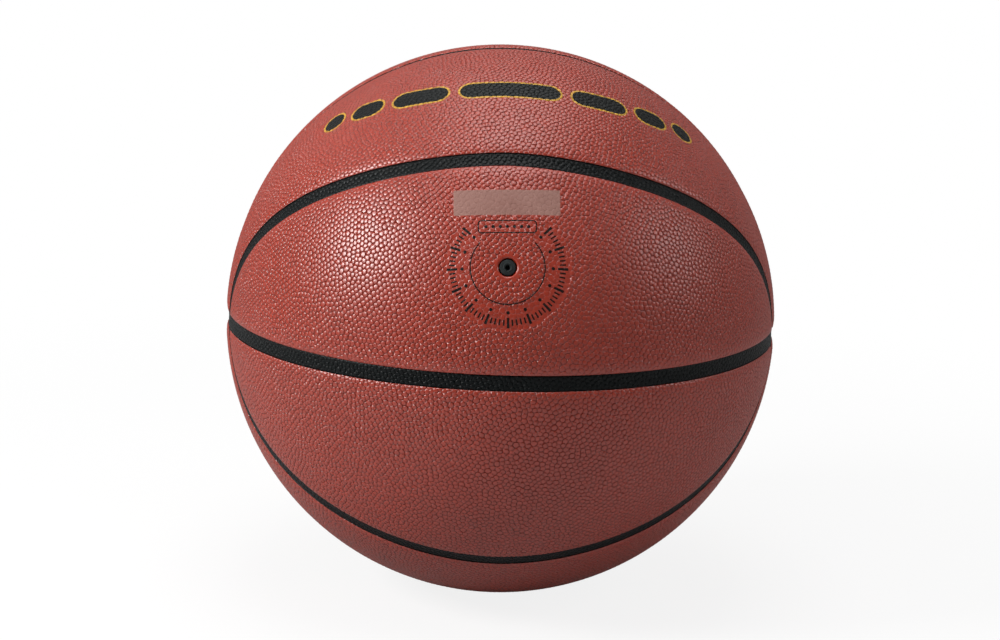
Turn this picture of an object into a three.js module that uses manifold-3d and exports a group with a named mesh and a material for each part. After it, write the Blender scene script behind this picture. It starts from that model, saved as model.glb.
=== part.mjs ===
import * as THREE from "three";
import { mergeVertices } from "three/addons/utils/BufferGeometryUtils.js";
import Module from "manifold-3d";

// A size 7 basketball with a cover of eight laid-on panels, in millimetres.
// The origin is the centre of the ball and +Z is up. The equator seam lies in the plane Z = 0,
// the meridian seam in the plane Y = 0, and one oval seam goes round -Y and another round +Y.
// The valve is in the middle of the panel above the equator on the -Y side.

// Cover
const BALL_RADIUS = 120; // to the crown of the panels
const PANEL_THICKNESS = 2.2;
const EDGE_DROP = 0.8; // fall of a panel from its crown to its rolled edge
const EDGE_ROLL = 5; // width over which the edge falls
const CHANNEL_WIDTH = 6.7;
const CHANNEL_DEPTH = 1; // from the crown of the panels to the channel strip
const STRIP_HOLLOW = 0.15; // dip along the middle of a channel strip

// Layers under the cover, from the outside in
const CUSHION_THICKNESS = 1.6;
const CARCASS_THICKNESS = 1;
const WINDING_THICKNESS = 0.5;
const BLADDER_THICKNESS = 0.7;

// Seam layout, as angles seen from the centre of the ball
const OVAL_HEIGHT = THREE.MathUtils.degToRad(45.5); // from the equator to the top of an oval
const OVAL_END = THREE.MathUtils.degToRad(10); // from the tip of an oval to the meridian seam
const OVAL_POWER = 1.8; // 2 makes an ellipse, less makes a leaner oval
const VALVE_LATITUDE = THREE.MathUtils.degToRad(22.5);

// Valve
const VALVE_HOLE = 7.4; // diameter of the hole in the panel
const VALVE_LIP = 1; // width of the turned-in leather round that hole
const VALVE_RECESS = 0.8; // from the crown of the panel to the face of the valve
const NEEDLE_HOLE = 2;
const NEEDLE_DEPTH = 11;
const DISH_WIDTH = 0.5; // of the funnel round the needle hole
const DISH_DEPTH = 0.6;
const HEAD_ROUND = 0.35;
const STEM_BEADS = 3;
const BEAD_HEIGHT = 0.15;
const BEAD_LENGTH = 1.2;
const NOSE_LENGTH = 2;
const NOSE_RADIUS = 1.3;
const HOUSING_BORE = 5.2;
const NECK_DIAMETER = 9.2;
const FLANGE_DIAMETER = 28;
const FLANGE_THICKNESS = 1.5;
const FLANGE_RIM = 0.6; // thickness at the feathered rim
const BOSS_DIAMETER = 12.5;
const BOSS_LENGTH = 7;

// Clearances
const FIT = 0.3; // between neighbouring pieces
const HEAD_CLEARANCE = 0.4; // round the head of the valve core

// Fineness of the facets
const SEAM_STEPS = 28; // along half of an oval seam
const GREAT_STEPS = 28; // along half of a seam that goes right round the ball
const CROWN_ROWS = 6; // across a panel between its rolled edges
const BACK_ROWS = 4; // across the back of a panel
const ROLL_MIDDLE = 0.3; // place of the extra row on a rolled edge, as a share of its width
const SHELL_DETAIL = 4;
const VALVE_SIDES = 16;
const FLANGE_ROWS = 3;

const WELD = 1e-5;
const CHANNEL_HALF = CHANNEL_WIDTH / 2;
const STRIP_HALF = CHANNEL_HALF - FIT;
const NECK_HOLE_RADIUS = NECK_DIAMETER / 2 + FIT;

const wasm = await Module();
wasm.setup();

// Indexed copy of a geometry with shared corners and no collapsed triangles
function weld(geometry) {
  const bare = new THREE.BufferGeometry();
  bare.setAttribute("position", geometry.getAttribute("position"));
  bare.setIndex(geometry.getIndex());
  const merged = mergeVertices(bare, WELD);
  const index = merged.getIndex().array;
  const kept = [];
  for (let start = 0; start < index.length; start += 3) {
    const [a, b, c] = index.slice(start, start + 3);
    if (a !== b && b !== c && c !== a) kept.push(a, b, c);
  }
  merged.setIndex(kept);
  return merged;
}

function toSolid(geometry) {
  const welded = weld(geometry);
  return new wasm.Manifold(new wasm.Mesh({
    numProp: 3,
    vertProperties: Float32Array.from(welded.getAttribute("position").array),
    triVerts: Uint32Array.from(welded.getIndex().array),
  }));
}

function toGeometry(solid) {
  const { vertProperties, triVerts } = solid.getMesh();
  const geometry = new THREE.BufferGeometry();
  geometry.setAttribute("position", new THREE.BufferAttribute(vertProperties, 3));
  geometry.setIndex(new THREE.BufferAttribute(triVerts, 1));
  return geometry;
}

// Least distance from the centre of the ball to a piece
function reach(geometry) {
  const position = geometry.getAttribute("position");
  const index = geometry.getIndex();
  const centre = new THREE.Vector3();
  const facet = new THREE.Triangle();
  const nearest = new THREE.Vector3();
  let least = Infinity;
  for (let start = 0; start < index.count; start += 3) {
    facet.a.fromBufferAttribute(position, index.getX(start));
    facet.b.fromBufferAttribute(position, index.getX(start + 1));
    facet.c.fromBufferAttribute(position, index.getX(start + 2));
    facet.closestPointToPoint(centre, nearest);
    least = Math.min(least, nearest.length());
  }
  return least;
}

// Seams: each gives a direction from the centre of the ball, for a turn of 0 to pi from the +X side
// to the -X side and an offset to one side along the surface
function onBall(longitude, latitude) {
  return new THREE.Vector3(
    Math.cos(latitude) * Math.sin(longitude),
    -Math.cos(latitude) * Math.cos(longitude),
    Math.sin(latitude),
  );
}

// Front half of the equator, with the offset upwards
function equatorSeam(turn, offset) {
  return onBall(Math.PI / 2 - turn, offset / BALL_RADIUS);
}

// Upper half of the meridian, with the offset towards the back
function meridianSeam(turn, offset) {
  const lean = offset / BALL_RADIUS;
  return new THREE.Vector3(
    Math.cos(lean) * Math.cos(turn),
    Math.sin(lean),
    Math.cos(lean) * Math.sin(turn),
  );
}

function ovalLine(turn) {
  const bow = (value) => Math.sign(value) * Math.abs(value) ** (2 / OVAL_POWER);
  return onBall((Math.PI / 2 - OVAL_END) * bow(Math.cos(turn)), OVAL_HEIGHT * bow(Math.sin(turn)));
}

// Upper half of the front oval, with the offset away from the middle of the oval
function ovalSeam(turn, offset) {
  const nudge = 1e-4;
  const point = ovalLine(turn);
  const along = ovalLine(turn + nudge).sub(ovalLine(turn - nudge));
  const outwards = new THREE.Vector3().crossVectors(along, point).normalize();
  const lean = offset / BALL_RADIUS;
  return point.multiplyScalar(Math.cos(lean)).addScaledVector(outwards, Math.sin(lean));
}

// Turn at which an offset seam has climbed to a height over the equator
function turnAtHeight(seam, offset, height) {
  let low = 0;
  let high = Math.PI / 2;
  while (high - low > 1e-12) {
    const middle = (low + high) / 2;
    if (seam(middle, offset).z < Math.sin(height / BALL_RADIUS)) low = middle;
    else high = middle;
  }
  return high;
}

// Directions along an offset seam, from one turn to its mirror image
function seamLine(seam, offset, start, steps) {
  const line = [];
  for (let step = 0; step <= steps; step++) {
    const turn = start + ((Math.PI - 2 * start) * step) / steps;
    line.push(seam(turn, offset));
  }
  return line;
}

// The same, cut off where the seam comes within half a channel of the equator
function trimmedLine(seam, offset, steps) {
  return seamLine(seam, offset, turnAtHeight(seam, offset, CHANNEL_HALF), steps);
}

// Strip of triangles between two lines of points, which may have different counts
function zip(corners, left, right) {
  let i = 0;
  let j = 0;
  while (i < left.length - 1 || j < right.length - 1) {
    if ((i + 1) / (left.length - 1) <= (j + 1) / (right.length - 1)) {
      corners.push(left[i], left[i + 1], right[j]);
      i += 1;
    } else {
      corners.push(left[i], right[j + 1], right[j]);
      j += 1;
    }
  }
}

// Closed piece between an outer and an inner face, each given as columns of points
function pieceBetween(outer, inner) {
  const corners = [];
  const last = outer.length - 1;
  for (let column = 0; column < last; column++) {
    zip(corners, outer[column], outer[column + 1]);
    zip(corners, inner[column + 1], inner[column]);
  }
  zip(corners, outer.map((column) => column[0]), inner.map((column) => column[0]));
  zip(corners, inner.map((column) => column.at(-1)), outer.map((column) => column.at(-1)));
  zip(corners, inner[0], outer[0]);
  zip(corners, outer[last], inner[last]);
  return weld(new THREE.BufferGeometry().setFromPoints(corners));
}

// Shares of the way across a panel: close rows on its rolled edges and even rows between
function crownShares(width) {
  const roll = Math.min(EDGE_ROLL, width / 3);
  const places = [0, ROLL_MIDDLE * roll];
  for (let row = 0; row <= CROWN_ROWS; row++) {
    places.push(roll + ((width - 2 * roll) * row) / CROWN_ROWS);
  }
  places.push(width - ROLL_MIDDLE * roll, width);
  return places.map((place) => place / width);
}

function backShares() {
  return Array.from({ length: BACK_ROWS + 1 }, (_, row) => row / BACK_ROWS);
}

// Directions across a panel, which are one direction at a corner where its two edges meet
function acrossPanel(from, to, sharesOf) {
  const angle = from.angleTo(to);
  const width = angle * BALL_RADIUS;
  if (width < FIT) return [from];
  return sharesOf(width).map((share) => from.clone()
    .multiplyScalar(Math.sin((1 - share) * angle) / Math.sin(angle))
    .addScaledVector(to, Math.sin(share * angle) / Math.sin(angle)));
}

// Radius of a panel's face, which falls on a quarter ellipse within the width of the rolled edge
function crownRadius(direction, rim) {
  const point = direction.clone().multiplyScalar(BALL_RADIUS);
  const side = new THREE.Line3();
  const nearest = new THREE.Vector3();
  let distance = EDGE_ROLL;
  rim.forEach((corner, place) => {
    side.start.copy(corner).multiplyScalar(BALL_RADIUS);
    side.end.copy(rim[(place + 1) % rim.length]).multiplyScalar(BALL_RADIUS);
    side.closestPointToPoint(point, true, nearest);
    distance = Math.min(distance, nearest.distanceTo(point));
  });
  const run = 1 - distance / EDGE_ROLL;
  return BALL_RADIUS - EDGE_DROP * (1 - Math.sqrt(1 - run * run));
}

// Cover panel between two edges, crowned outside and plain inside
function panel(edgeA, edgeB) {
  const rim = [...edgeA, ...edgeB.toReversed()];
  const face = edgeA.map((from, place) => acrossPanel(from, edgeB[place], crownShares)
    .map((direction) => direction.clone().multiplyScalar(crownRadius(direction, rim))));
  const back = edgeA.map((from, place) => acrossPanel(from, edgeB[place], backShares)
    .map((direction) => direction.clone().multiplyScalar(BALL_RADIUS - PANEL_THICKNESS)));
  return pieceBetween(face, back);
}

// Half of the field inside an oval seam, from the equator channel up to the oval channel
function ovalPanel() {
  const edge = trimmedLine(ovalSeam, -CHANNEL_HALF, SEAM_STEPS);
  const foot = edge.map(({ x, y }) => onBall(Math.atan2(x, -y), CHANNEL_HALF / BALL_RADIUS));
  return panel(foot, edge);
}

// Long field between an oval channel and the meridian channel
function bandPanel() {
  return panel(
    trimmedLine(ovalSeam, CHANNEL_HALF, SEAM_STEPS),
    trimmedLine(meridianSeam, -CHANNEL_HALF, SEAM_STEPS),
  );
}

// Channel strip along a seam, given as its lines of directions from one side to the other
function channelStrip(sideA, middle, sideB, seat) {
  const topRadius = BALL_RADIUS - CHANNEL_DEPTH;
  const steps = middle.slice(1).map((direction, place) => direction.angleTo(middle[place]));
  const footRadius = seat / Math.cos(Math.max(...steps) / 2);
  const top = middle.map((direction, place) => [
    sideA[place].clone().multiplyScalar(topRadius),
    direction.clone().multiplyScalar(topRadius - STRIP_HOLLOW),
    sideB[place].clone().multiplyScalar(topRadius),
  ]);
  const foot = middle.map((_, place) => [
    sideA[place].clone().multiplyScalar(footRadius),
    sideB[place].clone().multiplyScalar(footRadius),
  ]);
  return pieceBetween(top, foot);
}

function stripAlong(lineAt, seat) {
  return channelStrip(lineAt(-STRIP_HALF), lineAt(0), lineAt(STRIP_HALF), seat);
}

// Round plug along the valve axis, from a list of radii and distances from the centre of the ball
function valvePlug(outline) {
  const profile = outline.map(([radius, distance]) => new THREE.Vector2(radius, distance));
  return new THREE.LatheGeometry(profile, VALVE_SIDES).rotateX(Math.PI - VALVE_LATITUDE);
}

// Hole for the valve, flared where the leather is turned in
function cutValveHole(geometry) {
  const radius = VALVE_HOLE / 2;
  const hole = valvePlug([
    [0, BALL_RADIUS - 2 * PANEL_THICKNESS],
    [radius, BALL_RADIUS - 2 * PANEL_THICKNESS],
    [radius, BALL_RADIUS - VALVE_RECESS],
    [radius + VALVE_LIP, BALL_RADIUS],
    [radius + VALVE_LIP, BALL_RADIUS + PANEL_THICKNESS],
    [0, BALL_RADIUS + PANEL_THICKNESS],
  ]);
  return toGeometry(toSolid(geometry).subtract(toSolid(hole)));
}

// Closed round layer with the hole that the valve neck passes through
function layer(radius, thickness) {
  const outside = toSolid(new THREE.IcosahedronGeometry(radius, SHELL_DETAIL));
  const inside = toSolid(new THREE.IcosahedronGeometry(radius - thickness, SHELL_DETAIL));
  const hole = toSolid(valvePlug([
    [0, radius / 2],
    [NECK_HOLE_RADIUS, radius / 2],
    [NECK_HOLE_RADIUS, radius * 2],
    [0, radius * 2],
  ]));
  return toGeometry(outside.subtract(inside).subtract(hole));
}

// Valve housing: a domed flange inside the bladder, a boss and a neck up to the back of the panel
function valveHousing(flangeTop, neckTop) {
  const bore = HOUSING_BORE / 2;
  const neck = NECK_DIAMETER / 2;
  const boss = BOSS_DIAMETER / 2;
  const rim = FLANGE_DIAMETER / 2;
  const dome = (radius) => Math.sqrt(flangeTop * flangeTop - radius * radius);
  const bossEnd = flangeTop - FLANGE_THICKNESS - BOSS_LENGTH;
  const profile = [
    new THREE.Vector2(bore, bossEnd),
    new THREE.Vector2(boss - FLANGE_THICKNESS, bossEnd),
    new THREE.Vector2(boss, bossEnd + FLANGE_THICKNESS),
    new THREE.Vector2(boss, dome(boss) - FLANGE_THICKNESS),
    new THREE.Vector2(rim, dome(rim) - FLANGE_RIM),
  ];
  for (let row = 0; row <= FLANGE_ROWS; row++) {
    const radius = rim + ((neck - rim) * row) / FLANGE_ROWS;
    profile.push(new THREE.Vector2(radius, dome(radius)));
  }
  profile.push(
    new THREE.Vector2(neck, neckTop),
    new THREE.Vector2(bore, neckTop),
    new THREE.Vector2(bore, bossEnd),
  );
  return new THREE.LatheGeometry(profile, VALVE_SIDES);
}

// Valve core: a beaded stem in the bore of the housing, under a head with a dished needle hole
function valveCore(bossEnd, neckTop) {
  const bead = HOUSING_BORE / 2 - FIT;
  const stem = bead - BEAD_HEIGHT;
  const head = VALVE_HOLE / 2 - HEAD_CLEARANCE;
  const needle = NEEDLE_HOLE / 2;
  const faceAt = BALL_RADIUS - VALVE_RECESS;
  const headFoot = neckTop + FIT;
  const noseTop = bossEnd + NOSE_LENGTH;
  const profile = [
    new THREE.Vector2(0, bossEnd),
    new THREE.Vector2(NOSE_RADIUS, bossEnd),
    new THREE.Vector2(stem, noseTop),
  ];
  const pitch = (headFoot - noseTop) / STEM_BEADS;
  for (let place = 0; place < STEM_BEADS; place++) {
    const middle = noseTop + pitch * (place + 0.5);
    profile.push(
      new THREE.Vector2(stem, middle - BEAD_LENGTH / 2),
      new THREE.Vector2(bead, middle),
      new THREE.Vector2(stem, middle + BEAD_LENGTH / 2),
    );
  }
  profile.push(
    new THREE.Vector2(stem, headFoot),
    new THREE.Vector2(head, headFoot),
    new THREE.Vector2(head, faceAt - HEAD_ROUND),
    new THREE.Vector2(head - HEAD_ROUND, faceAt),
    new THREE.Vector2(needle + DISH_WIDTH, faceAt),
    new THREE.Vector2(needle, faceAt - DISH_DEPTH),
    new THREE.Vector2(needle, faceAt - NEEDLE_DEPTH),
    new THREE.Vector2(0, faceAt - NEEDLE_DEPTH),
  );
  return new THREE.LatheGeometry(profile, VALVE_SIDES);
}

// Materials
const leather = new THREE.MeshStandardMaterial({ color: 0x9c4a3a, roughness: 0.5, metalness: 0 });
const blackLeather = new THREE.MeshStandardMaterial({ color: 0x1d2324, roughness: 0.55, metalness: 0 });
const spongeRubber = new THREE.MeshStandardMaterial({ color: 0x8d857a, roughness: 0.9, metalness: 0 });
const carcassRubber = new THREE.MeshStandardMaterial({ color: 0x2b2a29, roughness: 0.8, metalness: 0 });
const nylonThread = new THREE.MeshStandardMaterial({ color: 0xd9d4c6, roughness: 0.7, metalness: 0 });
const butylRubber = new THREE.MeshStandardMaterial({ color: 0x1f1f20, roughness: 0.6, metalness: 0 });
const valveRubber = new THREE.MeshStandardMaterial({ color: 0x171a1b, roughness: 0.5, metalness: 0 });

const ball = new THREE.Group();

function place(name, geometry, material, parent = ball) {
  geometry.computeVertexNormals();
  const mesh = new THREE.Mesh(geometry, material);
  mesh.name = name;
  parent.add(mesh);
  return mesh;
}

// The four quarters of the cover, each turned half round from the front upper one
const QUARTERS = {
  front_upper: [0, 0, 0],
  back_upper: [0, 0, Math.PI],
  front_lower: [0, Math.PI, 0],
  back_lower: [Math.PI, 0, 0],
};

const plainPanel = ovalPanel();
const longPanel = bandPanel();
const cushionRadius = Math.min(reach(plainPanel), reach(longPanel)) - FIT;
const stripSeat = cushionRadius + FIT;
const ovalStrip = stripAlong((offset) => trimmedLine(ovalSeam, offset, SEAM_STEPS), stripSeat);

for (const [quarter, turns] of Object.entries(QUARTERS)) {
  const holdsValve = quarter === "front_upper";
  const ovalShape = holdsValve ? cutValveHole(plainPanel) : plainPanel;
  place(`oval_panel_${quarter}`, ovalShape, leather).rotation.set(...turns);
  place(`band_panel_${quarter}`, longPanel, leather).rotation.set(...turns);
  place(`oval_strip_${quarter}`, ovalStrip, blackLeather).rotation.set(...turns);
}

// The equator strip is two halves that meet end to end, and the meridian strip two that butt on it
const buttTurn = FIT / 2 / BALL_RADIUS;
const equatorStrip = stripAlong(
  (offset) => seamLine(equatorSeam, offset, buttTurn, GREAT_STEPS),
  stripSeat,
);
const meridianStrip = stripAlong((offset) => trimmedLine(meridianSeam, offset, GREAT_STEPS), stripSeat);
place("equator_strip_front", equatorStrip, blackLeather);
place("equator_strip_back", equatorStrip, blackLeather).rotation.z = Math.PI;
place("meridian_strip_upper", meridianStrip, blackLeather);
place("meridian_strip_lower", meridianStrip, blackLeather).rotation.x = Math.PI;

// Layers from the cushion under the cover in to the bladder
const carcassRadius = cushionRadius - CUSHION_THICKNESS - FIT;
const windingRadius = carcassRadius - CARCASS_THICKNESS - FIT;
const bladderRadius = windingRadius - WINDING_THICKNESS - FIT;
const bladder = layer(bladderRadius, BLADDER_THICKNESS);
place("cushion_layer", layer(cushionRadius, CUSHION_THICKNESS), spongeRubber);
place("carcass", layer(carcassRadius, CARCASS_THICKNESS), carcassRubber);
place("thread_winding", layer(windingRadius, WINDING_THICKNESS), nylonThread);
place("bladder", bladder, butylRubber);

// Valve, on an axis from the centre of the ball that is first +Y and then turned to its panel
const valve = new THREE.Group();
valve.rotation.x = Math.PI - VALVE_LATITUDE;
ball.add(valve);
const flangeTop = reach(bladder) - FIT;
const bossEnd = flangeTop - FLANGE_THICKNESS - BOSS_LENGTH;
place("valve_housing", valveHousing(flangeTop, cushionRadius), butylRubber, valve);
place("valve_core", valveCore(bossEnd, cushionRadius), valveRubber, valve);

export default ball;
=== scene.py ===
"""Looks of a size 7 basketball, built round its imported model.

The cover is eight embossed leather panels and eight sunken channel strips. Each is a closed mesh
whose pebbles are real relief: a grain of pebble centres is scattered over the piece, and every
pebble gets a top, a ring of shoulder points and a ring of valley points. The corners of its
triangles carry the normals of a round pebble. The valve is turned at a fine pitch, and the layers
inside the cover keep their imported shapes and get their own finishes. Shapes are worked out in
millimetres on unit directions from the centre of the ball, and written in metres.
"""

import logging
import math
from dataclasses import dataclass, field
from enum import Enum, IntEnum

import bpy
import numpy as np
from mathutils import Matrix, Vector
from mathutils.geometry import delaunay_2d_cdt
from mathutils.kdtree import KDTree


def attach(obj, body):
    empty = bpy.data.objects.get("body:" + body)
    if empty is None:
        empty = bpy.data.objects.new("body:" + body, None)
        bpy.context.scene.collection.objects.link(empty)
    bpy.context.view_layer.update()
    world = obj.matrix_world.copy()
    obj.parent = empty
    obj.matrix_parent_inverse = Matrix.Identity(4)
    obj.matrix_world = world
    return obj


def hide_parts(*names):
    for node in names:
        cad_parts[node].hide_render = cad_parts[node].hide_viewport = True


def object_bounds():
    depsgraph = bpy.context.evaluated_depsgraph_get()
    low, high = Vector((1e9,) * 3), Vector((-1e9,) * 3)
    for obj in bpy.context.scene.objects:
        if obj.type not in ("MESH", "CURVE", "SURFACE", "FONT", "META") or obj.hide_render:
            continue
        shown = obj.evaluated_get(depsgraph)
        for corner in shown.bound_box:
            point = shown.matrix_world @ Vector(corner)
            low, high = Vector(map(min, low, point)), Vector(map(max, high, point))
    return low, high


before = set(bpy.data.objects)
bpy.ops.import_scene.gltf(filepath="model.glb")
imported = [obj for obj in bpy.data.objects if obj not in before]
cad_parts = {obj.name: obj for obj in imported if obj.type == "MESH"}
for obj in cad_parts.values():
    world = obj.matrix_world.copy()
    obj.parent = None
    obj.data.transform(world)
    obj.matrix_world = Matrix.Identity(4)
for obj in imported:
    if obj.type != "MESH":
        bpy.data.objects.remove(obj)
cad_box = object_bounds()

log = logging.getLogger("basketball")

MM = 0.001
BAKE_MAP = "OFBake"
GOLDEN_ANGLE = math.pi * (3 - math.sqrt(5))
# Points on a flat curve that is then spaced evenly
CURVE_STEPS = 720
# Angles past which an edge stays sharp, in degrees
COVER_SHARP = 42.0
VALVE_SHARP = 40.0
# Points nearer than this are one point, in metres
WELD = 1e-6
# Of the camera, in millimetres
SENSOR_WIDTH = 36.0

Array = np.ndarray
Tree = bpy.types.NodeTree
Socket = bpy.types.NodeSocket


class Quarter(Enum):
    """A quarter of the cover, with the signs that turn the front upper quarter into it."""

    FRONT_UPPER = (1, 1, 1)
    BACK_UPPER = (-1, -1, 1)
    FRONT_LOWER = (-1, 1, -1)
    BACK_LOWER = (1, -1, -1)

    def turn(self) -> Matrix:
        """The half turn from the front upper quarter."""
        return Matrix.Diagonal((*self.value, 1))


class Ink(IntEnum):
    """What covers a patch of leather, in the order of a panel's material slots."""

    NONE = 0
    BLACK = 1
    GOLD = 2
    PALE = 3


class Body(Enum):
    """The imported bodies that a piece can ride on."""

    BALL = "ball"
    CORE = "valve_core"


def unit(points: Array) -> Array:
    """Vectors of length 1 with the same directions."""
    return points / np.linalg.norm(points, axis=-1, keepdims=True)


def smooth_step(low: float, high: float, value: Array) -> Array:
    """Rises smoothly from 0 at low to 1 at high."""
    share = np.clip((value - low) / (high - low), 0, 1)
    return share * share * (3 - 2 * share)


def quarter_round(edge: Array, width: float, drop: float) -> Array:
    """Fall of a face beside its edge, along a quarter of an ellipse of that width and drop."""
    run = 1 - np.clip(edge / width, 0, 1)
    return drop * (1 - np.sqrt(1 - run ** 2))


def lengths_along(line: Array) -> Array:
    """Distances of a line's points from its first one, along the line."""
    return np.concatenate([[0], np.cumsum(np.linalg.norm(np.diff(line, axis=0), axis=1))])


def respaced(line: Array, spacing: float, closed: bool = False) -> Array:
    """Spreads points evenly along a line.

    Args:
        line: Points of the line, close together, in any number of dimensions.
        spacing: Distance wanted between points, in the line's own units.
        closed: Whether the line goes back to its first point.

    Returns:
        The new points. An open line keeps both ends, and a closed one its first point.
    """
    if closed:
        line = np.vstack([line, line[:1]])
    along = lengths_along(line)
    steps = max(3, round(along[-1] / spacing))
    places = np.linspace(0, along[-1], steps + 1)
    points = np.stack([np.interp(places, along, column) for column in line.T], axis=1)
    return points[:-1] if closed else points


def turns_left(loop: Array) -> bool:
    """Whether a closed loop of a plane runs counter-clockwise."""
    across, up = loop.T
    return bool((across * np.roll(up, -1) - np.roll(across, -1) * up).sum() > 0)


def numbered(lines: list[Array]) -> list[Array]:
    """Numbers of the points of some lines that stand one after another in a row of points."""
    starts = np.cumsum([0] + [len(line) for line in lines])
    return [np.arange(start, start + len(line)) for start, line in zip(starts, lines)]


def tree_of(points: Array) -> KDTree:
    """Plants a tree that finds the nearest of some points.

    Args:
        points: The points, which keep their numbers.

    Returns:
        The balanced tree.
    """
    tree = KDTree(len(points))
    for number, point in enumerate(points):
        tree.insert(point, number)
    tree.balance()
    return tree


def face_normals(points: Array, triangles: Array) -> Array:
    """Normals of triangles, twice as long as their areas."""
    a, b, c = (points[triangles[:, corner]] for corner in range(3))
    return np.cross(b - a, c - a)


def summed(vectors: Array, triangles: Array, count: int) -> Array:
    """Adds up the triangles' vectors at their corners.

    Args:
        vectors: One for each triangle.
        triangles: Point numbers.
        count: Of the points.

    Returns:
        For each point, the sum over the triangles that meet there.
    """
    total = np.zeros((count, 3))
    for corner in range(3):
        np.add.at(total, triangles[:, corner], vectors)
    return total


def triangulate(plane: Array, loops: list[Array]) -> tuple[Array, list[set[int]]]:
    """Joins points of a plane into triangles that keep the edges of some loops.

    Args:
        plane: The points, one row each.
        loops: Closed rows of point numbers that become edges.

    Returns:
        The triangles, counter-clockwise, and for each the numbers of the loops that it lies in.
    """
    corners = [Vector(point) for point in plane]
    faces = [loop.tolist() if turns_left(plane[loop]) else loop[::-1].tolist() for loop in loops]
    _, _, found, sources, _, inside = delaunay_2d_cdt(corners, [], faces, 0, 1e-8, True)
    number = np.array([source[0] for source in sources])
    return number[np.array(found)], [set(loop) for loop in inside]


@dataclass(frozen=True)
class Flattening:
    """A map of the ball on a plane that keeps circles round, seen from outside along one direction.

    Attributes:
        tilt: Degrees from the front, -Y, up to the middle of the map.
    """

    tilt: float

    def axes(self) -> Array:
        """Works out the directions at the middle of the map.

        Returns:
            To the side, up and out, as rows.
        """
        lean = math.radians(self.tilt)
        return np.array([
            [1, 0, 0],
            [0, math.sin(lean), math.cos(lean)],
            [0, -math.cos(lean), math.sin(lean)],
        ])

    def flat(self, points: Array) -> Array:
        """Places on the plane of directions from the centre."""
        side, up, out = self.axes() @ points.T
        return np.stack([side / (1 + out), up / (1 + out)], axis=1)


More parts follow.
